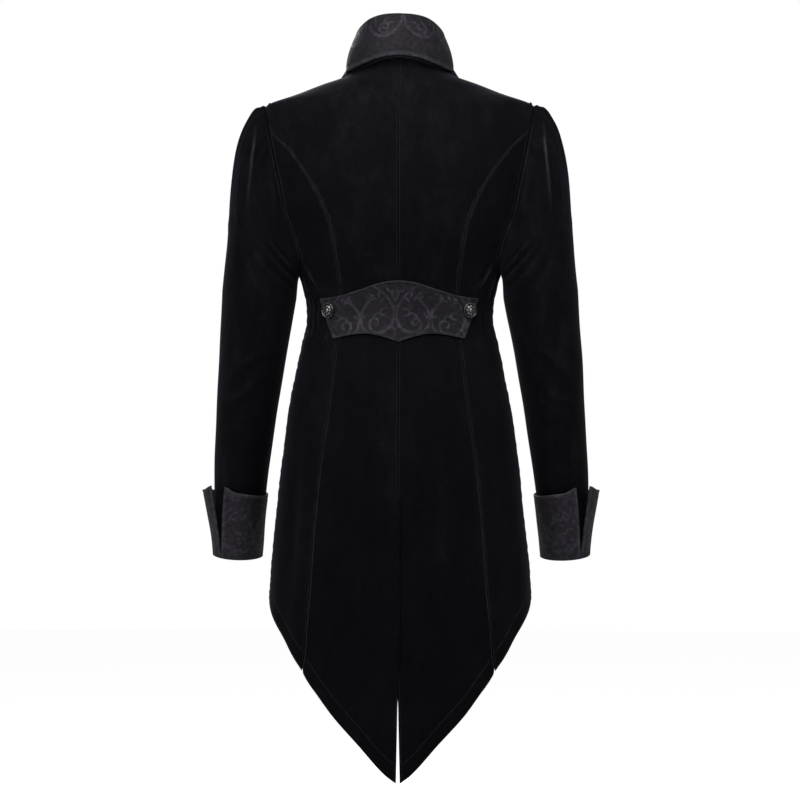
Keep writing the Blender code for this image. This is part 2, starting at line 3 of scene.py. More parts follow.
import bmesh
import bpy
import numpy as np
from mathutils import Matrix, Vector


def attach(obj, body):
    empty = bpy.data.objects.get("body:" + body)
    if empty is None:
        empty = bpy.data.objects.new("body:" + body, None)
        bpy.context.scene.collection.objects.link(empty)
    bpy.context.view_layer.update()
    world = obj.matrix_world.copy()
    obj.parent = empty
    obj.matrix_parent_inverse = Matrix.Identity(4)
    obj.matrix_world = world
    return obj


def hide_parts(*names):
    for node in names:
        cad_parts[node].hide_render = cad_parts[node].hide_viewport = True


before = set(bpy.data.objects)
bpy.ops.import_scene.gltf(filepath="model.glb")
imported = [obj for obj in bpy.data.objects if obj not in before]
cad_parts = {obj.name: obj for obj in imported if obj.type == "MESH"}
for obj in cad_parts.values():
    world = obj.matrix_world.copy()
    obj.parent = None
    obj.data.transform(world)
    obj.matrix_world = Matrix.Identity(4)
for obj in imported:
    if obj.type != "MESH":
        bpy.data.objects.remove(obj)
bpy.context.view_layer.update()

rest = "root"   # the one body, because nothing here moves by itself

# Level sections of the worn coat, as the frame has them
bodySections = {
    "columns": "z halfWidth back front",
    "rows": [
        (0.016, 0.062, 0.062, 0.050), (0.008, 0.069, 0.065, 0.053), (0.000, 0.083, 0.069, 0.056),
        (-0.008, 0.107, 0.073, 0.059), (-0.022, 0.145, 0.078, 0.063), (-0.037, 0.191, 0.083, 0.067),
        (-0.070, 0.191, 0.093, 0.080), (-0.110, 0.185, 0.100, 0.096), (-0.150, 0.177, 0.103, 0.110),
        (-0.190, 0.169, 0.101, 0.120), (-0.230, 0.157, 0.095, 0.118), (-0.272, 0.142, 0.087, 0.107),
        (-0.302, 0.1340, 0.082, 0.099), (-0.333, 0.1305, 0.079, 0.095), (-0.365, 0.1357, 0.082, 0.097),
        (-0.407, 0.1445, 0.093, 0.102), (-0.449, 0.1532, 0.103, 0.107), (-0.533, 0.1652, 0.114, 0.113),
        (-0.617, 0.1740, 0.118, 0.116), (-0.701, 0.1822, 0.119, 0.117), (-0.760, 0.1848, 0.119, 0.117),
        (-0.972, 0.1855, 0.117, 0.117),
    ],
}
collarSections = {
    "columns": "angle neckZ rollZ rollX rollY edgeZ edgeX edgeY",
    "rows": [
        (0, 0.0240, 0.0835, 0.058, 0.058, 0.0250, 0.0745, 0.0775),
        (20, 0.0212, 0.0825, 0.058, 0.058, 0.0220, 0.0745, 0.0775),
        (40, 0.0150, 0.0788, 0.058, 0.058, 0.0155, 0.0745, 0.0775),
        (62, 0.0082, 0.0702, 0.058, 0.057, 0.0095, 0.0745, 0.0770),
        (90, 0.0000, 0.0580, 0.058, 0.056, 0.0070, 0.0745, 0.0760),
        (110, -0.0085, 0.0430, 0.058, 0.056, -0.0010, 0.0755, 0.0770),
        (130, -0.0230, 0.0250, 0.059, 0.058, -0.0150, 0.0765, 0.0790),
        (150, -0.0420, 0.0070, 0.060, 0.061, -0.0330, 0.0780, 0.0820),
        (172, -0.0600, -0.0080, 0.060, 0.065, -0.0500, 0.0780, 0.0870),
        (180, -0.0630, -0.0100, 0.060, 0.066, -0.0530, 0.0780, 0.0880),
    ],
}
# Lines of the cut on the body. Angles are degrees from the centre back, the rest is in metres
hemLine = {
    "columns": "angle z",
    "rows": [
        (0, -0.9725), (5.4, -0.960), (17.2, -0.919), (29.3, -0.880), (36.6, -0.8533), (42.5, -0.8335),
        (45.8, -0.8205), (50.4, -0.8072), (54.9, -0.7941), (59.4, -0.7810), (64.5, -0.7680), (70.2, -0.7550),
        (77.1, -0.7421), (84, -0.7300), (90, -0.7190), (105, -0.678), (120, -0.627),
        (135, -0.570), (150, -0.513), (165, -0.466), (180, -0.440),
    ],
}
princessLine = {
    "columns": "z x",
    "rows": [
        (-0.075, 0.1800), (-0.085, 0.1705), (-0.101, 0.154), (-0.118, 0.141), (-0.134, 0.130),
        (-0.158, 0.1145), (-0.182, 0.103), (-0.199, 0.0965), (-0.228, 0.0900), (-0.250, 0.0865),
        (-0.285, 0.0815), (-0.330, 0.0810), (-0.376, 0.0860), (-0.468, 0.0965), (-0.535, 0.1065),
        (-0.625, 0.1155), (-0.705, 0.1210), (-0.760, 0.1262), (-0.797, 0.1290), (-0.830, 0.1345),
    ],
}
sideSeam = {
    "columns": "z angle",
    "rows": [(-0.272, 90), (-0.290, 89.5), (-0.333, 89), (-0.400, 88.5), (-0.482, 88), (-0.760, 88)],
}
armhole = {
    "columns": "z back front",
    "rows": [
        (-0.037, 90, 90), (-0.048, 80, 100), (-0.060, 75.5, 105), (-0.075, 72, 108.5), (-0.110, 70.5, 113),
        (-0.150, 69.5, 116), (-0.190, 68.5, 117.5), (-0.215, 66, 117), (-0.240, 65.5, 115),
        (-0.256, 68, 110), (-0.266, 75, 102), (-0.272, 90, 90),
    ],
}
# Soft troughs that wear has pressed into the whole body
wornFolds = {
    "columns": "z angle reachZ reachAngle depth",
    "rows": [
        (-0.318, 66, 0.012, 16, 0.0024), (-0.350, 74, 0.013, 14, 0.0020), (-0.470, 34, 0.130, 6, 0.0026),
        (-0.640, 22, 0.180, 6, 0.0034), (-0.660, 60, 0.150, 7, 0.0036),
    ],
}
bust = {"angle": 142.0, "z": -0.196, "spreadAngle": 19.0, "spreadZ": 0.052, "height": 0.013}
# Thickness of cloth, seams, vent and lap, and the heights that panels share
cut = {
    "velvet": 0.0020, "brocade": 0.0025, "seamGap": -0.0008, "shoulderTip": -0.037, "underarm": -0.272,
    "princessTop": -0.075, "princessFoot": -0.8135, "notch": 0.003, "ventTop": -0.560, "tailTip": -0.972,
    "ventOpening": 0.0052, "ventShut": -0.795, "ventLap": 0.0022, "lap": 0.018, "lapRise": 0.0052,
    "edgeReach": 0.3, "sideFoot": -0.750,
}

bodyRound = 0.125   # metres from the body's middle to its surface, as the creases are measured
# Creases of the velvet: side 1 is the wearer's left, -1 the right, 0 both. Each runs between two places.
bodyCreases = {
    "columns": "side angle1 z1 angle2 z2 width depth bow",
    "rows": [
        (1, 73, -0.258, 70, -0.318, 0.0040, -0.0026, 0.002),
        (1, 64, -0.256, 53, -0.304, 0.0036, -0.0028, 0.003),
        (1, 68, -0.262, 62, -0.322, 0.0028, 0.0024, 0.002),
        (1, 58, -0.266, 47, -0.296, 0.0024, 0.0012, 0.002),
        (1, 73, -0.306, 73, -0.358, 0.0042, -0.0020, -0.002),
        (1, 62, -0.310, 60, -0.360, 0.0044, 0.0026, 0.002),
        (1, 45, -0.356, 54, -0.382, 0.0030, -0.0024, 0.001),
        (1, 56, -0.356, 68, -0.386, 0.0030, 0.0017, 0.002),
        (1, 62, -0.352, 76, -0.372, 0.0026, -0.0013, 0.002),
        (-1, 72, -0.258, 68, -0.312, 0.0040, -0.0025, 0.003),
        (-1, 63, -0.256, 53, -0.302, 0.0036, -0.0028, 0.002),
        (-1, 67, -0.264, 62, -0.318, 0.0028, 0.0023, 0.002),
        (-1, 57, -0.268, 47, -0.294, 0.0024, 0.0011, 0.003),
        (-1, 61, -0.322, 60, -0.352, 0.0036, 0.0015, 0.002),
        (-1, 50, -0.360, 58, -0.388, 0.0026, -0.0014, 0.001),
        (-1, 58, -0.350, 70, -0.378, 0.0030, 0.0014, 0.002),
        (1, 66, -0.150, 40, -0.230, 0.0120, 0.0010, 0.010),
        (-1, 66, -0.160, 42, -0.236, 0.0120, 0.0009, 0.010),
        (1, 14, -0.420, 10, -0.900, 0.0130, 0.0017, 0.004),
        (1, 30, -0.430, 26, -0.780, 0.0120, 0.0013, -0.005),
        (-1, 12, -0.460, 11, -0.880, 0.0140, 0.0015, -0.004),
        (-1, 28, -0.410, 25, -0.800, 0.0110, 0.0014, 0.006),
        (1, 56, -0.430, 53, -0.760, 0.0100, 0.0012, 0.004),
        (-1, 58, -0.440, 54, -0.740, 0.0110, 0.0012, -0.003),
        (1, 112, -0.262, 140, -0.300, 0.0080, 0.0013, 0.006),
        (-1, 112, -0.258, 138, -0.305, 0.0085, 0.0012, 0.006),
        (1, 98, -0.300, 128, -0.330, 0.0060, 0.0012, 0.004),
        (-1, 99, -0.296, 126, -0.333, 0.0060, 0.0013, 0.003),
        (1, 100, -0.330, 124, -0.346, 0.0060, 0.0010, 0.003),
        (-1, 101, -0.334, 127, -0.350, 0.0060, 0.0010, 0.004),
        (0, 105, -0.430, 118, -0.560, 0.0130, 0.0014, 0.008),
        (0, 150, -0.120, 165, -0.090, 0.0100, 0.0009, 0.004),
    ],
}


def bell(value, width):
    return np.exp(-(value / width) ** 2)


def readTable(table, column, keys):   # a smooth curve through one column of a table
    rows = np.array(table["rows"], dtype=float)
    if rows[0, 0] > rows[-1, 0]:
        rows = rows[::-1]
    places, values = rows[:, 0], rows[:, table["columns"].split().index(column)]
    steps = np.diff(values) / np.diff(places)
    slopes = np.concatenate([steps[:1], (steps[:-1] + steps[1:]) / 2, steps[-1:]])
    slopes[1:-1][steps[:-1] * steps[1:] <= 0] = 0
    keys = np.clip(np.asarray(keys, dtype=float), places[0], places[-1])
    i = np.clip(np.searchsorted(places, keys, side="right") - 1, 0, len(places) - 2)
    width = places[i + 1] - places[i]
    t = (keys - places[i]) / width
    return ((2 * t**3 - 3 * t**2 + 1) * values[i] + (t**3 - 2 * t**2 + t) * width * slopes[i]
            + (3 * t**2 - 2 * t**3) * values[i + 1] + (t**3 - t**2) * width * slopes[i + 1])


def bodySurface(angle, z):   # a point of the worn coat, by its angle from the centre back and its height
    angle, z = np.broadcast_arrays(np.asarray(angle, dtype=float), np.asarray(z, dtype=float))
    turn = np.radians(angle)
    back, front, width = (readTable(bodySections, name, z) for name in ("back", "front", "halfWidth"))
    depth = np.where(np.cos(turn) >= 0, back, front)
    swell = np.zeros(z.shape)
    for foldZ, foldAngle, reachZ, reachAngle, foldDepth in wornFolds["rows"]:
        away = ((z - foldZ) / reachZ) ** 2 + ((np.abs(angle) - foldAngle) / reachAngle) ** 2
        swell -= foldDepth * np.exp(-away)
    away = ((z - bust["z"]) / bust["spreadZ"]) ** 2
    away += ((np.abs(angle) - bust["angle"]) / bust["spreadAngle"]) ** 2
    swell += bust["height"] * np.exp(-away)
    return np.stack([(width + swell) * np.sin(turn), (depth + swell) * np.cos(turn), z], axis=-1)


def unit(vectors):
    return vectors / np.linalg.norm(vectors, axis=-1, keepdims=True)


def bodyNormal(angle, z):
    across = bodySurface(angle + 1.5, z) - bodySurface(angle - 1.5, z)
    along = bodySurface(angle, z + 0.004) - bodySurface(angle, z - 0.004)
    return unit(np.cross(along, across))


def angleAt(x, z):   # the angle at which the back stands x out
    low, high = np.zeros(np.shape(z)), np.full(np.shape(z), 90.0)
    for _ in range(32):
        middle = (low + high) / 2
        short = bodySurface(middle, z)[..., 0] < x
        low, high = np.where(short, middle, low), np.where(short, high, middle)
    return low


def turnFor(angle, z, distance):   # degrees that move a place by so far round the body
    step = np.linalg.norm(bodySurface(angle + 0.5, z) - bodySurface(angle - 0.5, z), axis=-1)
    return distance / step


def princess(z):
    return angleAt(readTable(princessLine, "x", z), z)


def shares(points):   # how far along a line each of its points lies, from 0 to 1
    steps = np.linalg.norm(np.diff(points, axis=0), axis=1)
    total = np.concatenate([[0], np.cumsum(steps)])
    return total / total[-1]


def resample(places, count):   # count evenly spaced places along the same line
    places = np.array(places, dtype=float)
    share = shares(bodySurface(places[:, 0], places[:, 1]))
    wanted = np.linspace(0, 1, count)
    return np.stack([np.interp(wanted, share, places[:, k]) for k in (0, 1)], axis=1)


def ruled(first, last, share):
    ease = share * share * (3 - 2 * share)
    return np.stack([first[..., 0] + (last[..., 0] - first[..., 0]) * share,
                     first[..., 1] + (last[..., 1] - first[..., 1]) * ease], axis=-1)


def patch(left, right, top, foot):   # rows and columns of places between a panel's four edges
    left, right, top, foot = (np.array(edge, dtype=float) for edge in (left, right, top, foot))
    down = (shares(bodySurface(left[:, 0], left[:, 1])) + shares(bodySurface(right[:, 0], right[:, 1]))) / 2
    over = (shares(bodySurface(top[:, 0], top[:, 1])) + shares(bodySurface(foot[:, 0], foot[:, 1]))) / 2
    nearTop = (np.maximum(0, 1 - down / cut["edgeReach"]) ** 2)[:, None, None]
    nearFoot = (np.maximum(0, 1 - (1 - down) / cut["edgeReach"]) ** 2)[:, None, None]
    rows = ruled(left[:, None], right[:, None], over[None, :])
    topRow = top - ruled(left[0][None], right[0][None], over)
    footRow = foot - ruled(left[-1][None], right[-1][None], over)
    return rows + nearTop * topRow[None] + nearFoot * footRow[None]


def seamSide(places, way):   # half the gap of a seam, to one side of it
    places = np.array(places, dtype=float)
    places[:, 0] += way * turnFor(places[:, 0], places[:, 1], cut["seamGap"] / 2)
    return places


def neckPlace(angle):   # a point of the neck seam, level with the neck's middle
    z = float(readTable(collarSections, "neckZ", angle))
    if angle <= 90:
        return (angle, z)
    across = float(readTable(bodySections, "halfWidth", 0.0)) * math.sin(math.radians(angle))
    return (180 - math.degrees(math.asin(across / float(readTable(bodySections, "halfWidth", z)))), z)


def armholeLevels(first, last, count, closeAt="both"):
    s = np.linspace(0, 1, count)
    curve = {"both": (1 - np.cos(np.pi * s)) / 2, "first": 1 - np.cos(np.pi * s / 2),
             "last": np.sin(np.pi * s / 2)}
    return first + (last - first) * curve[closeAt]


def armholeEdge(column, levels):
    return np.stack([readTable(armhole, column, levels), levels], axis=1)


def shoulderEdge(way, count):
    levels = np.linspace(0.0, cut["shoulderTip"], count)
    return seamSide(np.stack([np.full(count, 90.0), levels], axis=1), way)


def hemPlaces(first, last, count):
    angles = np.linspace(first, last, count)
    return np.stack([angles, readTable(hemLine, "z", np.minimum(angles, 180))], axis=1)


def backPlaces(rows, columns):
    upper = armholeEdge("back", armholeLevels(cut["shoulderTip"], cut["princessTop"], 14, "first"))[:-1]
    levels = np.linspace(cut["princessTop"], cut["princessFoot"] - cut["notch"], rows - len(upper))
    right = seamSide(np.concatenate([upper, np.stack([princess(levels), levels], axis=1)]), -1)
    share = shares(bodySurface(right[:, 0], right[:, 1]))
    neck = float(readTable(collarSections, "neckZ", 0))
    z = neck + (cut["tailTip"] - neck) * share
    down = np.maximum(0, (cut["ventShut"] - z) / (cut["ventShut"] - cut["tailTip"]))
    gap = cut["seamGap"] / 2 + (cut["ventOpening"] - cut["seamGap"]) / 2 * down**1.3
    left = np.stack([turnFor(0.0, z, gap), z], axis=1)
    neckLine = [neckPlace(angle) for angle in np.linspace(left[0, 0], 89, 24)]
    top = resample(np.concatenate([neckLine, shoulderEdge(-1, 30)]), columns)
    foot = hemPlaces(left[-1, 0], right[-1, 0], columns)
    foot[-1] = right[-1]
    left[-1] = foot[0]
    return patch(left, right, top, foot)


def sideEdge(way, count):
    foot = float(readTable(hemLine, "z", readTable(sideSeam, "angle", cut["sideFoot"])))
    levels = np.linspace(cut["underarm"], foot, count)
    return seamSide(np.stack([readTable(sideSeam, "angle", levels), levels], axis=1), way)


def sideBackPlaces(rows, columns):
    upper = armholeLevels(cut["princessTop"], cut["underarm"], rows // 3, "last")[:-1]
    lower = np.linspace(cut["underarm"], cut["princessFoot"], rows - len(upper))
    levels = np.concatenate([upper, lower])
    left = seamSide(np.stack([princess(levels), levels], axis=1), 1)
    right = np.concatenate([armholeEdge("back", upper), sideEdge(-1, len(lower))])
    top = np.linspace(left[0], right[0], columns)
    foot = hemPlaces(left[-1, 0], right[-1, 0], columns)
    foot[0], foot[-1] = left[-1], right[-1]
    return patch(left, right, top, foot)


def frontPlaces(rows, columns):
    upper = armholeLevels(cut["shoulderTip"], cut["underarm"], rows // 2)[:-1]
    left = np.concatenate([armholeEdge("front", upper), sideEdge(1, rows - len(upper))])
    left[:1] = seamSide(left[:1], 1)
    share = shares(bodySurface(left[:, 0], left[:, 1]))
    share = share + 0.11 * np.sin(np.pi * share)   # lower at the closing edge, so that no rows cross
    neck, footZ = float(readTable(collarSections, "neckZ", 180)), float(readTable(hemLine, "z", 180))
    z = neck + (footZ - neck) * share
    right = np.stack([180 + turnFor(180.0, z, cut["lap"]), z], axis=1)
    neckLine = [neckPlace(angle) for angle in np.linspace(91, 178, 40)]
    top = resample(np.concatenate([shoulderEdge(1, 30)[::-1], neckLine, right[:1]]), columns)
    foot = hemPlaces(left[-1, 0], right[-1, 0], columns)
    foot[0], foot[-1] = left[-1], right[-1]
    return patch(left, right, top, foot)


def creasePlace(a, run, bow, width):   # how far along a crease each place lies, and how many widths off it
    length = np.linalg.norm(run)
    way = run / length
    along = (a @ way) / length
    off = a @ np.array([-way[1], way[0]]) - bow * np.sin(np.pi * np.clip(along, 0, 1))
    return along, off / width


def trough(d, ridge1, ridge2):   # pressed in between two low ridges
    return np.exp(-d**2) - ridge1 * bell(d - 1.9, 1.1) - ridge2 * bell(d + 1.9, 1.2)


def creaseDepth(angle, z, side):
    pressed = np.zeros(np.shape(z))
    toMetres = bodyRound * math.pi / 180
    for onSide, angle1, z1, angle2, z2, width, depth, bow in bodyCreases["rows"]:
        if onSide not in (0, side):
            continue
        a = np.stack([(angle - angle1) * toMetres, z - z1], axis=-1)
        along, d = creasePlace(a, np.array([(angle2 - angle1) * toMetres, z2 - z1]), bow, width)
        fade = np.exp(-((along - 0.5) / 0.42) ** 4) * (0.72 + 0.28 * np.sin(7 * along + z1 * 300))
        pressed += depth * fade * trough(d, 0.55, 0.45)
    return pressed


def edgeDistances(points):   # how far each point lies from the four edges
    over = np.linalg.norm(np.diff(points, axis=1), axis=2)
    down = np.linalg.norm(np.diff(points, axis=0), axis=2)
    fromFirst = np.concatenate([np.zeros((len(points), 1)), np.cumsum(over, axis=1)], axis=1)
    fromTop = np.concatenate([np.zeros((1, points.shape[1])), np.cumsum(down, axis=0)], axis=0)
    return fromFirst, fromFirst[:, -1:] - fromFirst, fromTop[-1:] - fromTop, fromTop


def handWave(points, size, height):   # the slight unevenness of hanging cloth
    x, y, z = (points[..., k] / size for k in range(3))
    return height * (np.sin(1.3 * x + 0.7 * z + 1.1) * np.sin(0.9 * z - 1.7 * y + 0.4)
                     + 0.6 * np.sin(2.3 * z + 1.9 * x + 2.0) * np.sin(1.1 * x - 0.6 * z))


def finishMesh(builder, name):
    mesh = bpy.data.meshes.new(name)
    builder.to_mesh(mesh)
    builder.free()
    piece = bpy.data.objects.new(name, mesh)
    bpy.context.scene.collection.objects.link(piece)
    return piece


def makeGrid(name, points, tube=False, uv=None, marks=None):   # a tube's last column is welded to its first
    if tube:
        points = np.concatenate([points, points[:, :1]], axis=1)
        uv = None if uv is None else np.concatenate([uv, uv[:, :1] + [uv[0, -1, 0] - uv[0, 0, 0], 0]], axis=1)
    rows, columns = points.shape[:2]
    builder = bmesh.new()
    bmesh.ops.create_grid(builder, x_segments=columns - 1, y_segments=rows - 1, size=1)
    builder.verts.ensure_lookup_table()
    flat = np.array([v.co[:2] for v in builder.verts])
    i = np.rint((flat[:, 0] + 1) / 2 * (columns - 1)).astype(int)
    j = np.rint((1 - flat[:, 1]) / 2 * (rows - 1)).astype(int)
    for vert, place in zip(builder.verts, points[j, i]):
        vert.co = place
    layer = builder.loops.layers.uv.new("cloth") if uv is not None else None
    if uv is not None:
        place = uv[j, i]
        for face in builder.faces:
            for loop in face.loops:
                loop[layer].uv = place[loop.vert.index]
    for mark, values in (marks or {}).items():
        if tube:
            values = np.concatenate([values, values[:, :1]], axis=1)
        slot = builder.verts.layers.float.new(mark)
        for vert, value in zip(builder.verts, values[j, i]):
            vert[slot] = float(value)
    if tube:
        bmesh.ops.remove_doubles(builder, verts=builder.verts[:], dist=0.00001)
    bmesh.ops.recalc_face_normals(builder, faces=builder.faces[:])
    return finishMesh(builder, name)


def faceAway(piece, sample, outward):   # turns a sheet round if it looks inwards
    mesh = piece.data
    nearest = min(mesh.polygons, key=lambda face: (face.center - Vector(sample)).length_squared)
    if nearest.normal.dot(Vector(outward)) < 0:
        mesh.flip_normals()
    mesh.shade_smooth()


def dress(piece, finish, slotName, *nodes, thickness=None, offset=-1):   # finish, wall and place in the frame
    piece.data.materials.append(finish)
    if thickness:
        wall = piece.modifiers.new("wall", "SOLIDIFY")
        wall.thickness = thickness
        wall.offset = offset
        wall.use_quality_normals = True
    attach(piece, rest)
    if nodes:
        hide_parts(*nodes)


# Finishes: velvet, brocade, metal and thread

def newFinish(name):
    finish = bpy.data.materials.new(name)
    finish.use_nodes = True
    nodes = finish.node_tree.nodes
    return finish, nodes, nodes["Principled BSDF"]


def setInputs(node, values):
    for key, value in values.items():
        node.inputs[key].default_value = value


def join(source, output, target, entry):
    target.id_data.links.new(source.outputs[output], target.inputs[entry])


def addNode(nodes, kind, values=None, **settings):
    node = nodes.new(kind)
    for key, value in settings.items():
        setattr(node, key, value)
    setInputs(node, values or {})
    return node


def addNoise(nodes, where, entry, scale, detail, roughness=0.5):
    noise = addNode(nodes, "ShaderNodeTexNoise", {"Scale": scale, "Detail": detail, "Roughness": roughness})
    join(where, entry, noise, "Vector")
    return noise


def addMark(nodes, name):   # a value that the piece's mesh carries
    return addNode(nodes, "ShaderNodeAttribute", attribute_name=name)


def addBump(nodes, source, output, shader, strength, distance):
    bump = addNode(nodes, "ShaderNodeBump", {"Strength": strength, "Distance": distance})
    join(source, output, bump, "Height")
    join(bump, "Normal", shader, "Normal")


def mixColours(nodes, factor, first, second, **settings):   # each a value, or a node and its output
    mix = addNode(nodes, "ShaderNodeMix", data_type="RGBA", **settings)
    for entry, value in ((0, factor), (6, first), (7, second)):
        if isinstance(value, tuple) and len(value) == 2:
            join(*value, mix, entry)
        else:
            mix.inputs[entry].default_value = value
    return mix


def scaled(colour, amount):
    return (*[c * amount for c in colour], 1)


def addRamp(nodes, stops):
    ramp = nodes.new("ShaderNodeValToRGB")
    while len(ramp.color_ramp.elements) < len(stops):
        ramp.color_ramp.elements.new(0.5)
    for element, (place, colour) in zip(ramp.color_ramp.elements, stops):
        element.position = place
        element.color = (*colour, 1)
    return ramp


# Velvet tones: the random pile mottling and the painted light share one ramp. The top tone is a painted
# highlight, the brushed tone serves brushed pile and painted highlights, the deep tone dark pile and painted
# shade
velvetLook = {
    "deep": (0.0007, 0.0007, 0.0011), "middle": (0.0019, 0.0019, 0.0027), "brushedAndLit": (0.0064, 0.0063, 0.0087),
    "paintedHighlight": (0.0300, 0.0300, 0.0360),
    "tones": [(0.34, "deep"), (0.52, "middle"), (0.70, "brushedAndLit"), (0.95, "paintedHighlight")],
    "sheenTint": (0.60, 0.60, 0.78), "sheen": 0.055, "sheenRoughness": 0.42, "roughness": 0.78,
}


def velvetFinish():   # short dense pile, brushed in patches, with a cool sheen; painted highlights and painted shade come from a mark on the mesh
    finish, nodes, shader = newFinish("blackVelvet")
    where = addNode(nodes, "ShaderNodeTexCoord")
    stretch = addNode(nodes, "ShaderNodeMapping", {"Scale": (1, 1, 0.55)})
    join(where, "Object", stretch, "Vector")
    patches = addNoise(nodes, stretch, "Vector", 24, 9, 0.88)
    pile = addNoise(nodes, where, "Object", 900, 2, 0.6)
    mixed = addNode(nodes, "ShaderNodeMix", {"Factor": 0.30}, data_type="FLOAT")
    join(patches, "Fac", mixed, 2)
    join(pile, "Fac", mixed, 3)
    rampInput = addNode(nodes, "ShaderNodeMath", operation="ADD")
    join(mixed, 0, rampInput, 0)
    join(addMark(nodes, "paintedLight"), "Fac", rampInput, 1)   # painted highlights and painted shade that the mesh carries
    ramp = addRamp(nodes, [(place, velvetLook[tone]) for place, tone in velvetLook["tones"]])
    join(rampInput, 0, ramp, "Fac")
    join(ramp, "Color", shader, "Base Color")
    addBump(nodes, pile, "Fac", shader, 0.35, 0.0006)
    setInputs(shader, {"Roughness": velvetLook["roughness"], "Specular IOR Level": 0.03,
                       "Sheen Weight": velvetLook["sheen"], "Sheen Roughness": velvetLook["sheenRoughness"],
                       "Sheen Tint": (*velvetLook["sheenTint"], 1)})
    return finish


# The edge colour is a painted highlight on the turned edges; figure and blotches are the cloth's own
brocadeLook = {
    "ground": (0.0070, 0.0062, 0.0083), "figure": (0.0195, 0.0181, 0.0222),
    # inside is painted shade, the colour of the collar's stand in the shadow under the fall
    "edgeHighlight": (0.0165, 0.0153, 0.0189), "inside": (0.0045, 0.0045, 0.0062), "ribs": 0.00085,
    "blotches": [(0.35, (0.42, 0.41, 0.45)), (0.50, (0.92, 0.91, 0.95)), (0.66, (1.9, 1.83, 1.98))],
}


def brocadeFinish(name="blackBrocade", lift=1.0):   # dull twill ground, smoother figure, turned edge with a painted highlight
    finish, nodes, shader = newFinish(name)
    look = brocadeLook
    where = addNode(nodes, "ShaderNodeTexCoord")
    ribs = addNode(nodes, "ShaderNodeTexWave", {"Scale": 1 / look["ribs"] / 6.28, "Distortion": 0.6,
                                                "Detail": 1.0}, wave_type="BANDS", bands_direction="DIAGONAL")
    join(where, "UV", ribs, "Vector")
    slub = addNoise(nodes, where, "UV", 260, 3, 0.6)
    blotches = addNoise(nodes, where, "Object", 150, 5, 0.75)
    figure = addMark(nodes, "figure")
    ground = mixColours(nodes, (ribs, "Fac"), scaled(look["ground"], 0.90), scaled(look["ground"], 1.12))
    thread = mixColours(nodes, (slub, "Fac"), scaled(look["figure"], 0.80), scaled(look["figure"], 1.20))
    drawn = mixColours(nodes, (figure, "Fac"), (ground, 2), (thread, 2))
    # painted highlight along the turned edge
    edgeHighlighted = mixColours(nodes, (addMark(nodes, "edgeHighlight"), "Fac"), (drawn, 2), (*look["edgeHighlight"], 1))
    # lift brightens the tones, and for the cuffs this is painted light
    tones = addRamp(nodes, [(place, [lift * c for c in colour]) for place, colour in look["blotches"]])
    join(blotches, "Fac", tones, "Fac")
    mottled = mixColours(nodes, 1.0, (edgeHighlighted, 2), (tones, "Color"), blend_type="MULTIPLY")
    # painted shade on the collar's stand under its fall
    paintedShade = mixColours(nodes, (addMark(nodes, "shade"), "Fac"), (mottled, 2), (*look["inside"], 1))
    join(paintedShade, 2, shader, "Base Color")
    raised = addNode(nodes, "ShaderNodeMath", {1: 0.5}, operation="MULTIPLY_ADD")
    join(ribs, "Fac", raised, 0)
    join(figure, "Fac", raised, 2)
    addBump(nodes, raised, 0, shader, 0.30, 0.0005)
    rough = addNode(nodes, "ShaderNodeMapRange", {"To Min": 0.62, "To Max": 0.42})
    join(figure, "Fac", rough, "Value")
    join(rough, "Result", shader, "Roughness")
    setInputs(shader, {"Specular IOR Level": 0.10, "Sheen Weight": 0.02})
    return finish


def metalFinish():   # bright on the relief, dark in its hollows
    finish, nodes, shader = newFinish("antiqueSilver")
    tarnish = addNoise(nodes, addNode(nodes, "ShaderNodeTexCoord"), "Object", 320, 4, 0.6)
    relief = addMark(nodes, "relief")
    rampInput = addNode(nodes, "ShaderNodeMath", {1: 0.35}, operation="MULTIPLY_ADD")
    join(tarnish, "Fac", rampInput, 0)
    join(relief, "Fac", rampInput, 2)
    ramp = addRamp(nodes, [(0.25, (0.006, 0.006, 0.0065)), (0.70, (0.035, 0.035, 0.037)),
                           (1.15, (0.20, 0.20, 0.205))])
    join(rampInput, 0, ramp, "Fac")
    join(ramp, "Color", shader, "Base Color")
    rough = addNode(nodes, "ShaderNodeMapRange", {"To Min": 0.5, "To Max": 0.26})
    join(relief, "Fac", rough, "Value")
    join(rough, "Result", shader, "Roughness")
    setInputs(shader, {"Metallic": 1.0})
    return finish


def threadFinish(name, colour):
    finish, nodes, shader = newFinish(name)
    twist = addNoise(nodes, addNode(nodes, "ShaderNodeTexCoord"), "Object", 1500, 1)
    ramp = addRamp(nodes, [(0.3, [c * 0.7 for c in colour]), (0.7, [c * 1.3 for c in colour])])
    join(twist, "Fac", ramp, "Fac")
    join(ramp, "Color", shader, "Base Color")
    setInputs(shader, {"Roughness": 0.6})
    return finish


velvet = velvetFinish()
brocade = brocadeFinish()
litCuffBrocade = brocadeFinish("litCuffBrocade", 1.55)   # a paler copy for the cuffs: painted light
silver = metalFinish()
velvetThread = threadFinish("velvetThread", (0.0070, 0.0070, 0.0086))
print("finishes made")


# Velvet panels

panelLook = {
    "rows": 150, "backColumns": 60, "sideColumns": 64, "frontColumns": 84,
    "seamDip": 0.0011, "seamWidth": 0.0026, "seamRidge": 0.00035, "pucker": 0.0006,
    "hemStitch": 0.024, "hemDip": 0.0005, "hemRoll": 0.0003, "tipDips": ((0.0018, 0.016), (0.0026, 0.045)),
    "waveSize": 0.045, "waveHeight": 0.00045, "overLap": 0.0026, "underLap": 0.0006,
    "flat": {"back": (0.235, 1.030), "side_back": (0.150, 0.790), "front": (0.300, 0.760)},
}
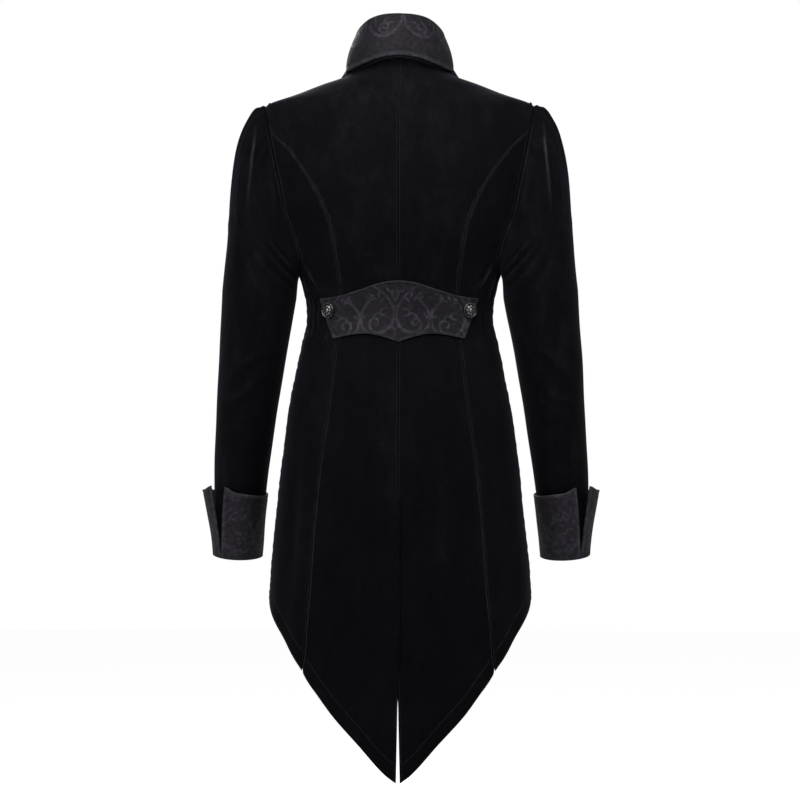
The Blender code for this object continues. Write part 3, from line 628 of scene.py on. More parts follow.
# Painted light in the velvet's colour: painted light at the neck, painted shade towards the hem, painted
# highlights on crease ridges, seams and vent, painted shade in crease hollows
panelLightLook = {"neck": 0.05, "low": {"back": 0.055, "side_back": 0.020, "front": 0.020}, "ridge": 130,
                "hollow": 80, "upperSeam": 0.16, "lowerSeam": 0.07, "vent": 0.10}


def tipDrop(points):   # how far the cloth sinks at the shoulder's tip, where the sleeve is set in
    fromTip = np.linalg.norm(points - bodySurface(np.array(90.0), np.array(cut["shoulderTip"])), axis=-1)
    return sum(depth * bell(fromTip, width) for depth, width in panelLook["tipDips"])


def panelPoints(places, side, kind):
    angle, z = places[..., 0], places[..., 1]
    base = bodySurface(angle, z)
    normals = bodyNormal(angle, z)
    fromLeft, fromRight, fromFoot, _ = edgeDistances(base)
    lift = -creaseDepth(angle, z, side)
    wobble = np.sin(base[..., 2] * 620 + 3 * np.sin(base[..., 2] * 90)) * np.sin(base[..., 2] * 171 + 1)
    for distance in (fromLeft, fromRight):
        lift -= panelLook["seamDip"] * bell(distance, panelLook["seamWidth"])
        lift += panelLook["seamRidge"] * bell(distance - 0.0055, 0.002)
        lift += panelLook["pucker"] * wobble * bell(distance - 0.005, 0.005)
    lift -= panelLook["hemDip"] * bell(fromFoot - panelLook["hemStitch"], 0.0016)
    lift += panelLook["hemRoll"] * bell(fromFoot, 0.012)
    lift -= tipDrop(base)
    lift += handWave(base * np.array([side, 1, 1]), panelLook["waveSize"], panelLook["waveHeight"])
    if kind == "front" and side < 0:   # the right front laps over the left one
        lift += cut["lapRise"] * np.clip((angle - 148) / 20, 0, 1)
    points = base + normals * lift[..., None]
    if kind == "back":   # the left tail laps over the right one below the vent's top
        below = np.clip((cut["ventTop"] - z) / 0.03, 0, 1) * np.clip((z + 0.865) / 0.050, 0, 1)
        near = bell(fromLeft, 0.016) * below
        over = panelLook["overLap"] if side > 0 else -panelLook["underLap"]
        points = points + normals * (over * near)[..., None]
        points[..., 0] -= cut["ventLap"] * near
    return points * np.array([side, 1, 1])


def panelPaintedLight(places, side, kind):   # painted highlights at seams, crease ridges, vent and shoulders; painted shade in crease hollows and towards the hem
    look = panelLightLook
    points = bodySurface(places[..., 0], places[..., 1])
    fromLeft, fromRight, _, _ = edgeDistances(points)
    z = points[..., 2]
    # painted light near the neck and shoulders, lit from above, and painted shade towards the hem
    paintedLight = look["neck"] * bell(z + 0.02, 0.05) - look["low"][kind] * np.clip((-0.30 - z) / 0.35, 0, 1)
    pressed = creaseDepth(places[..., 0], places[..., 1], side)
    # painted highlight on crease ridges and painted shade in crease hollows
    paintedLight += look["ridge"] * np.clip(-pressed - 0.0004, 0, 0.0024)
    paintedLight -= look["hollow"] * np.clip(pressed - 0.0006, 0, 0.0020)
    if kind == "front":
        return paintedLight
    spots = 0.6 + 0.4 * np.sin(z * 240 + 2 * np.sin(z * 70))
    # painted highlight in spots beside the princess seam
    seam = spots * bell((fromRight if kind == "back" else fromLeft) - 0.0028, 0.0024)
    paintedLight += seam * (look["upperSeam"] * bell(z + 0.19, 0.10)
                   + look["lowerSeam"] * np.clip((-0.45 - z) / 0.1, 0, 1))
    # painted highlight along the tails' edges at the vent
    if kind == "back":
        low = np.clip((cut["ventTop"] - z) / 0.03, 0, 1)
        paintedLight += look["vent"] * spots * bell(fromLeft - 0.001, 0.0016) * low
    return paintedLight


def clothUv(points):   # metres along and across the cloth
    fromLeft, _, _, fromTop = edgeDistances(points)
    return np.stack([fromLeft, -fromTop], axis=-1)


def makePanels():
    shapes = {
        "back": backPlaces(panelLook["rows"], panelLook["backColumns"]),
        "side_back": sideBackPlaces(panelLook["rows"], panelLook["sideColumns"]),
        "front": frontPlaces(panelLook["rows"], panelLook["frontColumns"]),
    }
    for kind, places in shapes.items():
        for side, word in ((1, "left"), (-1, "right")):
            node = f"{kind}_{word}"
            points = panelPoints(places, side, kind)
            marks = {"paintedLight": panelPaintedLight(places, side, kind)}
            piece = makeGrid(f"{kind}Panel_{word}", points, uv=clothUv(points), marks=marks)
            j, i = len(points) // 2, points.shape[1] // 2
            faceAway(piece, points[j, i], bodyNormal(*places[j, i]) * np.array([side, 1, 1]))
            dress(piece, velvet, "velvet", node, thickness=cut["velvet"])
    print("panels made")
    return shapes


panels = makePanels()


# Sleeves: a gathered head and one tube down the arm

sleeveSections = {
    "columns": "z x y halfX halfY",
    "rows": [
        (-0.302, 0.1967, 0.004, 0.0522, 0.058), (-0.365, 0.2045, -0.003, 0.0483, 0.054),
        (-0.407, 0.2100, -0.010, 0.0457, 0.051), (-0.449, 0.2149, -0.019, 0.0434, 0.049),
        (-0.533, 0.2238, -0.037, 0.0395, 0.044), (-0.600, 0.2295, -0.052, 0.0358, 0.041),
        (-0.668, 0.2330, -0.067, 0.0325, 0.038),
    ],
}
sleeveCut = {
    "tubeTop": -0.302, "foot": -0.668, "columns": 144, "headRows": 70, "tubeRows": 78, "gatherDepth": 0.0024,
    "turning": ((0.0050, 0.0075), (0.0046, 0.0040), (0.0028, 0)),   # rows inside the armhole: depth, reach
    "levelFoot": 0.3, "waveSize": 0.040, "waveHeight": 0.0006, "flat": (0.395, 0.655),
}
# Small pleats that run out from the shoulder tip: turn at the armhole and at the end, width, depth, length
sleeveGathers = {
    "columns": "turn1 turn2 width depth length",
    "rows": [
        (-40, -75, 5.0, 0.7, 0.070), (-27, -48, 4.5, 0.9, 0.080), (-15, -26, 4.0, 0.8, 0.060),
        (-5, -8, 3.5, 0.9, 0.070), (5, 10, 3.5, 1.1, 0.085), (14, 30, 3.5, 1.0, 0.060),
        (22, 50, 3.5, 1.3, 0.140), (31, 78, 4.0, 1.0, 0.100), (41, 100, 4.5, 0.7, 0.060),
    ],
}
# Rolls of the gathered head beside the armhole; reachTurn 0 goes all round
headRolls = {
    "columns": "height away width reachTurn",
    "rows": [
        (0.0011, 0.0035, 0.0022, 0), (-0.0012, 0.0085, 0.0020, 0), (-0.0007, 0, 0.0015, 0),
        (0.0040, 0.012, 0.012, 34), (0.0028, 0.11, 0.07, 50),
    ],
}
# Painted light on the sleeve: highlight beside the armhole seam and on creases, shade under the cuff
sleeveLightLook = {"seam": 0.22, "underCuff": 0.14, "deepCrease": 0.28, "crease": 0.08}
# Creases by where they show: face 1 is the sleeve's back half, -1 its front half; x as on the wearer's left
sleeveCreases = {
    "columns": "side face x1 z1 x2 z2 width depth bow",
    "rows": [
        (0, 1, 0.1990, -0.066, 0.2090, -0.186, 0.0026, -0.0024, 0.001),
        (0, 1, 0.1925, -0.075, 0.1960, -0.160, 0.0040, 0.0014, 0.002),
        (0, 1, 0.1830, -0.110, 0.1720, -0.200, 0.0030, -0.0012, -0.003),
        (1, 1, 0.2330, -0.190, 0.2120, -0.214, 0.0055, 0.0017, 0.003),
        (-1, 1, 0.2340, -0.186, 0.2100, -0.210, 0.0050, 0.0017, 0.004),
        (0, 1, 0.1880, -0.230, 0.1450, -0.280, 0.0024, 0.0024, 0.002),
        (0, 1, 0.1780, -0.222, 0.1480, -0.262, 0.0022, 0.0019, 0.002),
        (1, 1, 0.2020, -0.232, 0.1500, -0.293, 0.0028, 0.0018, 0.004),
        (-1, 1, 0.2000, -0.236, 0.1500, -0.295, 0.0028, 0.0018, 0.002),
        (1, 1, 0.2120, -0.236, 0.1780, -0.300, 0.0045, 0.0012, 0.004),
        (-1, 1, 0.2100, -0.242, 0.1760, -0.302, 0.0045, 0.0013, 0.003),
        (1, 1, 0.1820, -0.395, 0.2300, -0.432, 0.0090, 0.0016, 0.005),
        (-1, 1, 0.1830, -0.388, 0.2280, -0.428, 0.0085, 0.0015, 0.006),
        (1, 1, 0.1900, -0.432, 0.2360, -0.462, 0.0090, 0.0013, -0.004),
        (-1, 1, 0.1900, -0.440, 0.2380, -0.466, 0.0090, 0.0012, -0.005),
        (0, 1, 0.2050, -0.330, 0.2020, -0.400, 0.0120, 0.0012, 0.004),
        (1, 1, 0.2250, -0.490, 0.2300, -0.570, 0.0090, 0.0011, 0.003),
        (-1, 1, 0.2230, -0.500, 0.2280, -0.574, 0.0090, 0.0011, 0.003),
        (0, -1, 0.1780, -0.400, 0.2300, -0.415, 0.0060, 0.0018, -0.004),
        (0, -1, 0.1820, -0.424, 0.2360, -0.430, 0.0055, 0.0020, 0.003),
        (0, -1, 0.1840, -0.446, 0.2340, -0.458, 0.0060, 0.0017, 0.004),
        (1, -1, 0.1900, -0.474, 0.2380, -0.480, 0.0070, 0.0013, 0.004),
        (-1, -1, 0.1900, -0.470, 0.2360, -0.484, 0.0070, 0.0012, 0.004),
        (0, -1, 0.1700, -0.225, 0.1980, -0.265, 0.0055, 0.0014, 0.003),
        (0, -1, 0.1760, -0.200, 0.2080, -0.236, 0.0060, 0.0011, 0.003),
    ],
}


def sleeveCentre(z):
    x, y = readTable(sleeveSections, "x", z), readTable(sleeveSections, "y", z)
    return np.stack([x, y, np.asarray(z, float)], axis=-1)


def sleeveFrame(z):
    z = np.asarray(z, dtype=float)
    along = unit(sleeveCentre(np.maximum(z - 0.02, sleeveCut["foot"]))
                 - sleeveCentre(np.minimum(z + 0.02, sleeveCut["tubeTop"])))
    out = unit(np.array([1.0, 0, 0]) - along * along[..., :1])
    return along, out, np.cross(out, along)


def tubePoint(z, turn, extra=0.0):   # turn is 0 at the outer side and 90 at the back
    z, turn, extra = np.broadcast_arrays(*(np.asarray(a, dtype=float) for a in (z, turn, extra)))
    _, out, back = sleeveFrame(z)
    angle = np.radians(turn)
    reachX = (readTable(sleeveSections, "halfX", z) + extra) * np.cos(angle)
    reachY = (readTable(sleeveSections, "halfY", z) + extra) * np.sin(angle)
    return sleeveCentre(z) + out * reachX[..., None] + back * reachY[..., None]


def levelled(points, z, amount):   # takes a share of the arm's lean out of a section
    along, _, back = sleeveFrame(z)
    rise = -amount * back[..., 2] / back[..., 1] * (points[..., 1] - readTable(sleeveSections, "y", z))
    return points + along * (rise / along[..., 2])[..., None]


def armholeLoop(count):   # evenly spaced round the hole, with the tip first and the underarm halfway
    levels = armholeLevels(cut["shoulderTip"], cut["underarm"], count // 2 + 1)
    places = np.concatenate([armholeEdge("back", levels)[:-1], armholeEdge("front", levels[::-1])[:-1]])
    points, normals = (find(places[:, 0], places[:, 1]) for find in (bodySurface, bodyNormal))
    points, normals = (np.concatenate([rows, rows[:1]]) for rows in (points, normals))
    share = shares(points)
    under = share[count // 2]
    wanted = np.concatenate([np.linspace(0, under, count // 2 + 1)[:-1],
                             np.linspace(under, 1, count // 2 + 1)[:-1]])
    points, normals = (np.stack([np.interp(wanted, share, rows[:, k]) for k in range(3)], axis=1)
                       for rows in (points, normals))
    return points, unit(normals)


def gridNormals(points, tube):
    if tube:
        over = np.roll(points, -1, axis=1) - np.roll(points, 1, axis=1)
    else:
        over = np.gradient(points, axis=1)
    return unit(np.cross(over, np.gradient(points, axis=0)))


def headPath(start, turn, share):   # from the armhole over the head to the tube
    turn, t = turn[None, :, None], share[:, None, None]
    top, swing = (1 + np.cos(np.radians(turn))) / 2, np.sin(np.radians(turn))
    away = unit(np.concatenate([0.22 + 0.75 * top, 0.38 * swing, -0.95 + 0.72 * top], axis=-1))
    end = tubePoint(sleeveCut["tubeTop"], turn[..., 0])
    along = sleeveFrame(sleeveCut["tubeTop"])[0]
    first = start[None] + away * (0.010 + 0.040 * top)
    second = end - along * (0.012 + 0.150 * top + 0.030 * np.abs(swing))
    return (1 - t)**3 * start[None] + 3 * (1 - t)**2 * t * first + 3 * (1 - t) * t**2 * second + t**3 * end


def headLift(reach, turned):   # the gathers and rolls of the head
    lift = np.zeros(reach.shape)
    for first, last, width, depth, length in sleeveGathers["rows"]:
        swing = turned - first - (last - first) * np.clip(reach / 0.16, 0, 1)
        wide = width * (1 + reach / 0.10)
        crease = bell(swing, wide) - 0.7 * bell(swing - 1.6 * wide, 0.7 * wide)
        lift += sleeveCut["gatherDepth"] * depth * crease * bell(reach, length)
    lift *= np.minimum(1, reach / 0.008)
    for height, away, width, reachTurn in headRolls["rows"]:
        lift += height * bell(reach - away, width) * (bell(turned, reachTurn) if reachTurn else 1)
    return lift


def sleeveFoldsAndLight(points, reach, turned, side):   # how deep creases are pressed in, and where highlights and shade are painted on the velvet
    x, y, z = (points[..., k] for k in range(3))
    middle = np.interp(z, [-0.668, -0.302, -0.15, -0.03], [-0.067, 0.004, 0.008, 0.008])
    facing = np.clip((y - middle) / 0.012, -1, 1)
    look, pressed = sleeveLightLook, np.zeros(z.shape)
    # painted highlight beside the armhole seam on the sleeve's back half
    paintedLight = look["seam"] * bell(reach - 0.0030, 0.0014) * np.clip((turned - 20) / 30, 0, 1)
    # painted shade on the velvet under the cuff, where it shows in the slit
    paintedLight -= look["underCuff"] * np.clip((-0.572 - z) / 0.008, 0, 1)
    for onSide, face, x1, z1, x2, z2, width, depth, bow in sleeveCreases["rows"]:
        if onSide not in (0, side):
            continue
        away = np.stack([x - x1, z - z1], axis=-1)
        along, d = creasePlace(away, np.array([x2 - x1, z2 - z1]), bow, width)
        fade = np.exp(-((along - 0.5) / 0.45) ** 4) * np.clip(facing * face, 0, 1)
        pressed += depth * fade * trough(d, 0.5, 0.4)
        # painted highlight on each crease's ridge, stronger on the deep ones
        paintedHighlight = look["deepCrease"] if depth < -0.002 else look["crease"]
        paintedLight += paintedHighlight * fade * (bell(d, 0.75) if depth < 0 else bell(d - 1.7, 0.6))
    return pressed, paintedLight


def sleevePoints(side):
    count = sleeveCut["columns"]
    starts, bodyOut = armholeLoop(count)
    starts = starts - bodyOut * tipDrop(starts)[:, None]
    turns = np.arange(count) * 360 / count
    head = headPath(starts, turns, np.linspace(0, 1, sleeveCut["headRows"]) ** 1.25)
    levels = np.linspace(sleeveCut["tubeTop"], sleeveCut["foot"], sleeveCut["tubeRows"])[1:, None]
    level = sleeveCut["levelFoot"] * np.clip((-0.500 - levels) / 0.168, 0, 1)
    points = np.concatenate([head, levelled(tubePoint(levels, turns[None]), levels, level)])
    normals = gridNormals(points, tube=True)
    if np.dot(normals[-1, 0], points[-1, 0] - points[-1].mean(axis=0)) < 0:
        normals = -normals
    turned = ((turns + 180) % 360 - 180)[None]
    reach = np.linalg.norm(points - points[:1], axis=2)
    pressed, paintedLight = sleeveFoldsAndLight(points, reach, turned, side)
    wave = handWave(points * [side, 1, 1], sleeveCut["waveSize"], sleeveCut["waveHeight"])
    wave *= np.clip(reach / 0.05, 0, 1) * np.clip((points[..., 2] + 0.68) / 0.1, 0, 1)
    points = points + normals * (headLift(reach, turned) - pressed + wave)[..., None]
    inward = unit(starts.mean(axis=0) - starts)
    turning = np.stack([starts - bodyOut * deep - inward * far for deep, far in sleeveCut["turning"]])
    mirror = np.array([side, 1, 1])
    return (np.concatenate([turning, points]) * mirror, np.concatenate([normals[:3], normals]) * mirror,
            np.concatenate([paintedLight[:3] * 0, paintedLight]))


def makeSleeves():
    for side, word in ((1, "left"), (-1, "right")):
        points, normals, paintedLight = sleevePoints(side)
        piece = makeGrid(f"sleeve_{word}Cloth", points, tube=True, uv=clothUv(points), marks={"paintedLight": paintedLight})
        faceAway(piece, points[100, 10], normals[100, 10])
        dress(piece, velvet, "velvet", f"sleeve_{word}", thickness=cut["velvet"])
    print("sleeves made")


makeSleeves()


# The woven figure, drawn. Each stroke is a run of points, with its half width at start, middle and
# end, in millimetres. The cell repeats by turning over at its two upright edges.

beltScroll = {
    "cell": 48.0, "start": 48.0,
    "strokes": [
        ((1.0, 2.2, 1.3), [(18, 33), (27, 27), (37, 18), (44.5, 6), (46.8, -6), (43, -19), (34.5, -29),
                           (24, -31.5), (15.5, -27), (12.5, -19), (16.5, -12.5), (23, -13), (25, -18),
                           (22, -21)]),
        ((1.5, 2.0, 1.0), [(16, 15), (9, 8.5), (3.5, 0), (1.2, -10), (3, -21), (9.5, -30), (19, -35)]),
        ((1.2, 1.6, 0.4), [(16.5, -12.5), (22, -5.5), (27, -4.5), (31, 1), (37, 3)]),
        ((1.0, 1.5, 0.4), [(27, -4.5), (32, -7.5), (37, -7)]),
        ((1.0, 1.8, 0.4), [(15, 14), (11.5, 18), (9, 17)]),
        ((1.0, 2.2, 0.5), [(15, 14), (16, 20), (13, 24)]),
        ((1.0, 2.0, 0.4), [(15, 14), (20.5, 16.5), (22.5, 12.5)]),
        ((0.5, 1.6, 0.4), [(37, 18), (31.5, 15.5), (28, 10)]),
        ((0.5, 1.6, 0.4), [(27, 27), (25, 21), (28, 17)]),
        ((0.8, 2.0, 0.9), [(48, 15), (44.5, 20.5), (42, 27)]),
        ((0.8, 1.7, 0.4), [(42, 27), (38, 28), (35, 33)]),
        ((0.5, 1.5, 0.4), [(43, 24), (46, 28), (48, 28)]),
        ((0.5, 1.6, 0.4), [(47, -4), (45, 3), (48, 9)]),
        ((0.5, 1.5, 0.4), [(1.5, -8), (6, -9), (8, -4)]),
        ((0.5, 1.6, 0.4), [(43, -20), (47, -26), (48, -33)]),
    ],
}
collarScroll = {
    "cell": 52.0, "start": -6.6,
    "strokes": [
        ((1.2, 2.4, 1.2), [(1, 6), (2.5, -6), (7, -16), (15, -24), (25, -28), (36, -26), (44.5, -18),
                           (48, -8), (47, 2), (42, 8)]),
        ((0.8, 1.7, 1.2), [(42, 8), (39, 0), (38.5, -8)]),
        ((1.0, 1.9, 1.2), [(20, -22.5), (27, -24), (32.5, -20), (33, -13), (28, -9), (22, -10.5),
                           (20.5, -15.5), (24, -18), (27.5, -15.5)]),
        ((0.6, 1.5, 0.4), [(28, -9), (25, -3), (19, 0)]),
        ((0.6, 1.5, 0.4), [(21, -11), (16, -8), (12, -9)]),
    ],
}


def smoothRun(points, step=0.7):   # a smooth curve through given points
    knots = np.array(points, dtype=float)
    knots = np.concatenate([2 * knots[:1] - knots[1:2], knots, 2 * knots[-1:] - knots[-2:-1]])
    places = []
    for a, b, c, d in zip(knots, knots[1:], knots[2:], knots[3:]):
        t = np.arange(0, 1, step / max(np.linalg.norm(c - b), step))[:, None]
        places.append(0.5 * (2 * b + (c - a) * t + (2 * a - 5 * b + 4 * c - d) * t**2
                             + (3 * b - a - 3 * c + d) * t**3))
    return np.concatenate(places + [knots[-2:-1]])


def drawScroll(across, up, scroll, softness=0.9):   # 1 inside a stroke, 0 outside
    cell = scroll["cell"]
    folded = np.mod(across * 1000 - scroll["start"], 2 * cell)
    folded = np.where(folded > cell, 2 * cell - folded, folded).ravel()
    height = (up * 1000).ravel()
    inside = np.zeros(folded.shape)
    for (first, middle, last), points in scroll["strokes"]:
        run = smoothRun(points)
        half = np.interp(np.linspace(0, 1, len(run)), [0, 0.45, 1], [first, middle, last])
        for strokeX in (run[:, 0], -run[:, 0], 2 * cell - run[:, 0]):
            if strokeX.max() < -4 or strokeX.min() > cell + 4:
                continue
            near = (height > run[:, 1].min() - 5) & (height < run[:, 1].max() + 5)
            near &= (folded > strokeX.min() - 5) & (folded < strokeX.max() + 5)
            gap = np.hypot(folded[near, None] - strokeX, height[near, None] - run[:, 1]) - half
            inside[near] = np.maximum(inside[near], np.clip(0.5 - gap.min(axis=1) / softness, 0, 1))
    return inside.reshape(np.shape(across))


# Cuffs: turned back up over the sleeve's end, wider at the outer side, with a slit at the outer back
cuffCut = {
    "height": 0.092, "ease": 0.0008, "flareOut": 0.0135, "flareIn": 0.0004, "peak": 0.0050, "dip": 0.0040,
    "levelTop": 0.9, "slitAngle": 37.0, "slitTop": 27.0, "slitFoot": 1.2, "rows": 66, "columns": 190,
    "waveSize": 0.030, "waveHeight": 0.0005, "hemDip": 0.00045, "figureLift": 0.36, "figureGround": 0.10,
    "flat": (0.300, 0.105),
}


def cuffPoints(rows, columns):
    share = np.linspace(0, 1, rows)[:, None]
    place = np.linspace(0, 1, columns)[None, :]
    z = sleeveCut["foot"] - 0.0015 + cuffCut["height"] * share
    opening = cuffCut["slitFoot"] + (cuffCut["slitTop"] - cuffCut["slitFoot"]) * share
    turn = 90 - cuffCut["slitAngle"] + opening / 2 + (360 - opening) * place
    fromSlit = np.minimum(place, 1 - place)
    outerSide = (1 + np.cos(np.radians(turn))) / 2
    flare = cuffCut["flareOut"] * outerSide + cuffCut["flareIn"] * (1 - outerSide)
    rise = share**3 * (cuffCut["peak"] * bell(fromSlit, 0.035)
                       - cuffCut["dip"] * np.sin(np.pi * np.minimum(1, fromSlit * 2.2)))
    gap = cuffCut["ease"] + flare * share**1.5 + cut["brocade"] / 2
    z, turn, gap = np.broadcast_arrays(z + rise, turn, gap)
    amount = sleeveCut["levelFoot"] + (cuffCut["levelTop"] - sleeveCut["levelFoot"]) * share
    return levelled(tubePoint(z, turn, gap), z, amount)


def edging(distances, reach, width):   # 1 on the turned edge, 0 away from it
    return np.maximum.reduce([np.clip(reach - distance / width, 0, 1) for distance in distances])


def makeCuffs():
    rows, columns = cuffCut["rows"], cuffCut["columns"]
    for side, word in ((1, "left"), (-1, "right")):
        mirror = np.array([side, 1, 1])
        points = cuffPoints(rows, columns)
        normals = gridNormals(points, tube=False)
        if np.dot(normals[rows // 2, 5], points[rows // 2, 5] - points[rows // 2].mean(axis=0)) < 0:
            normals = -normals
        fromFirst, fromLast, fromTop, fromFoot = edgeDistances(points)
        # painted highlight along the cuff's turned edges
        edgeHighlight = np.maximum(edging((fromFirst, fromLast), 1.6, 0.0030), edging((fromTop,), 1.6, 0.0036))
        lift = handWave(points * mirror, cuffCut["waveSize"], cuffCut["waveHeight"])
        lift *= np.clip(fromFoot / 0.03, 0, 1)
        for distance in (fromFirst, fromLast, fromTop):
            lift -= cuffCut["hemDip"] * bell(distance - 0.0052, 0.0011)
        points = points + normals * lift[..., None]
        scroll = drawScroll(fromFirst, fromFoot - cuffCut["height"] / 2, beltScroll)
        figure = scroll * (1 - edgeHighlight) * cuffCut["figureLift"] + cuffCut["figureGround"]
        points = points * mirror
        marks = {"figure": figure, "edgeHighlight": edgeHighlight}
        piece = makeGrid(f"cuff_{word}Cloth", points, uv=clothUv(points), marks=marks)
        faceAway(piece, points[rows // 2, 5], normals[rows // 2, 5] * mirror)
        dress(piece, litCuffBrocade, "brocade", f"cuff_{word}", thickness=cut["brocade"], offset=0)
    print("cuffs made")


makeCuffs()


# Collar: it stands up from the neck seam, rolls over and falls to its free edge

collarCut = {
    "ends": 172, "columns": 330, "standRows": 46, "rollRows": 14, "fallRows": 52, "rollRadius": 0.0042,
    "seat": 0.0006, "standBow": 0.0025, "fallBow": 0.0035, "turning": ((0.0045, 0.0040), (0.0026, 0.0028)),
    "waveSize": 0.030, "waveHeight": 0.0004, "hemDip": 0.0005, "edge": 0.0036, "figureLift": 0.72,
    "shade": 0.85, "flat": (0.560, 0.150),
}


def collarPoints():
    look, columns = collarCut, collarCut["columns"]
    angle = np.linspace(-1, 1, columns) * look["ends"]
    turn, one = np.radians(angle), np.ones(columns)
    size = {name: readTable(collarSections, name, np.abs(angle))
            for name in collarSections["columns"].split()[1:]}
    out = np.stack([np.sin(turn), np.cos(turn), 0 * one], axis=-1)
    roundTo = np.stack([np.sin(turn), np.cos(turn), one], axis=-1)
    up = np.array([0, 0, 1.0])
    neck = np.array([neckPlace(abs(a)) for a in angle])
    seam = bodySurface(neck[:, 0], neck[:, 1]) * np.stack([np.where(angle < 0, -1, 1), one, one], axis=-1)
    base = seam - out * cut["brocade"] * 0.5 + up * look["seat"]
    roll = roundTo * np.stack([size["rollX"], size["rollY"], size["rollZ"]], axis=-1)
    edge = roundTo * np.stack([size["edgeX"], size["edgeY"], size["edgeZ"]], axis=-1)
    radius = look["rollRadius"]
    centre = roll - up * radius
    turnIn, turnOut = centre - out * radius, centre + out * radius
    rows = [base - up * deep - out * far for deep, far in look["turning"]]
    for t in np.linspace(0, 1, look["standRows"])[:-1]:
        rows.append(base * (1 - t) + turnIn * t - out * look["standBow"] * math.sin(math.pi * t))
    for step in np.radians(np.linspace(0, 180, look["rollRows"])):
        rows.append(centre + radius * (-out * math.cos(step) + up * math.sin(step)))
    for t in np.linspace(0, 1, look["fallRows"])[1:]:
        rows.append(turnOut * (1 - t) + edge * t + out * look["fallBow"] * math.sin(math.pi * t))
    return np.array(rows), len(look["turning"]) + look["standRows"] + 6   # and the row on top of the roll


def makeCollar():
    points, rollRow = collarPoints()
    normals = gridNormals(points, tube=False)
    j, i = points.shape[0] - 20, points.shape[1] // 2
    if normals[j, i, 1] < 0:
        normals = -normals
    fromFirst, fromLast, fromFoot, fromTop = edgeDistances(points)
    along = fromFirst - fromFirst[:, i][:, None]
    down = fromTop - fromTop[rollRow][None]
    # painted highlight along the collar's turned edges
    edgeHighlight = edging((fromFoot, fromFirst, fromLast), 1.7, collarCut["edge"])
    lift = handWave(points, collarCut["waveSize"], collarCut["waveHeight"])
    lift -= collarCut["hemDip"] * bell(fromFoot - 0.0068, 0.0012)
    points = points + normals * lift[..., None]
    figure = drawScroll(along, 0.007 - down, collarScroll) * (1 - edgeHighlight) * collarCut["figureLift"]
    # painted shade on the stand, in the shadow of the fall
    shade = np.broadcast_to((np.arange(len(points)) < rollRow - 6)[:, None] * 1.0, figure.shape)
    marks = {"figure": figure * (1 - shade), "edgeHighlight": edgeHighlight * (1 - shade),
             "shade": shade * collarCut["shade"]}
    piece = makeGrid("collarCloth", points, uv=clothUv(points), marks=marks)
    faceAway(piece, points[j, i], (0, 1, 0))
    dress(piece, brocade, "brocade", "collar", thickness=cut["brocade"], offset=0)
    print("collar made")


makeCollar()


# Back belt

beltEdges = {
    "columns": "x top foot",
    "rows": [
        (0, -0.2855, -0.3702), (0.0096, -0.2860, -0.3672), (0.0192, -0.2874, -0.3645),
        (0.0294, -0.2897, -0.3621), (0.0396, -0.2929, -0.3601), (0.0492, -0.2964, -0.3588),
        (0.0588, -0.2992, -0.3585), (0.0684, -0.3022, -0.3590), (0.0786, -0.3050, -0.3601),
        (0.0888, -0.3068, -0.3617), (0.0984, -0.3081, -0.3635), (0.108, -0.3088, -0.3650),
    ],
}


beltCut = {"rows": 76, "columns": 222, "half": 0.108, "tipLean": 0.018, "lift": 0.0009, "edge": 0.0014,
           "hemDip": 0.0003, "waveHeight": 0.0004, "flat": (0.240, 0.095)}


def backPoint(x, z, lift):   # a place on the back, so far off it
    angle = angleAt(np.abs(x), z)
    point = bodySurface(angle, z) + bodyNormal(angle, z) * np.asarray(lift)[..., None]
    return point * np.stack([np.where(x < 0, -1.0, 1.0), np.ones(np.shape(x)), np.ones(np.shape(x))], axis=-1)


def makeBelt():
    rows, columns, half = beltCut["rows"], beltCut["columns"], beltCut["half"]
    share = np.linspace(0, 1, rows)[:, None]
    x = np.linspace(-half, half, columns)[None, :]
    top, foot = (readTable(beltEdges, edge, np.abs(x)) for edge in ("top", "foot"))
    z = top * (1 - share) + foot * share
    x = x * (1 - beltCut["tipLean"] / half * share)
    points = backPoint(x, z, np.full(z.shape, beltCut["lift"] + cut["brocade"] / 2))
    fromEdges = edgeDistances(points)
    # painted highlight along the belt's turned edges
    edgeHighlight = edging(fromEdges, 1.6, beltCut["edge"])
    lift = beltCut["waveHeight"] * np.sin(points[..., 0] * 70 + 1) * np.sin(points[..., 2] * 90)
    lift -= beltCut["hemDip"] * bell(np.minimum.reduce(fromEdges) - 0.0050, 0.0010)
    normals = gridNormals(points, tube=False)
    points = points + normals * (lift * np.sign(normals[..., 1]))[..., None]
    middle = (readTable(beltEdges, "top", np.abs(x)) + readTable(beltEdges, "foot", np.abs(x))) / 2
    figure = drawScroll(points[..., 0] - 0.0045, z - middle, beltScroll) * (1 - edgeHighlight)
    piece = makeGrid("beltCloth", points, uv=clothUv(points), marks={"figure": figure, "edgeHighlight": edgeHighlight})
    faceAway(piece, points[rows // 2, columns // 2], (0, 1, 0))
    dress(piece, brocade, "brocade", "back_belt", thickness=cut["brocade"], offset=0)
    print("belt made")


makeBelt()


# Buttons: a domed metal face with petals in relief round a small boss, beads on a stepped rim, a shank plate

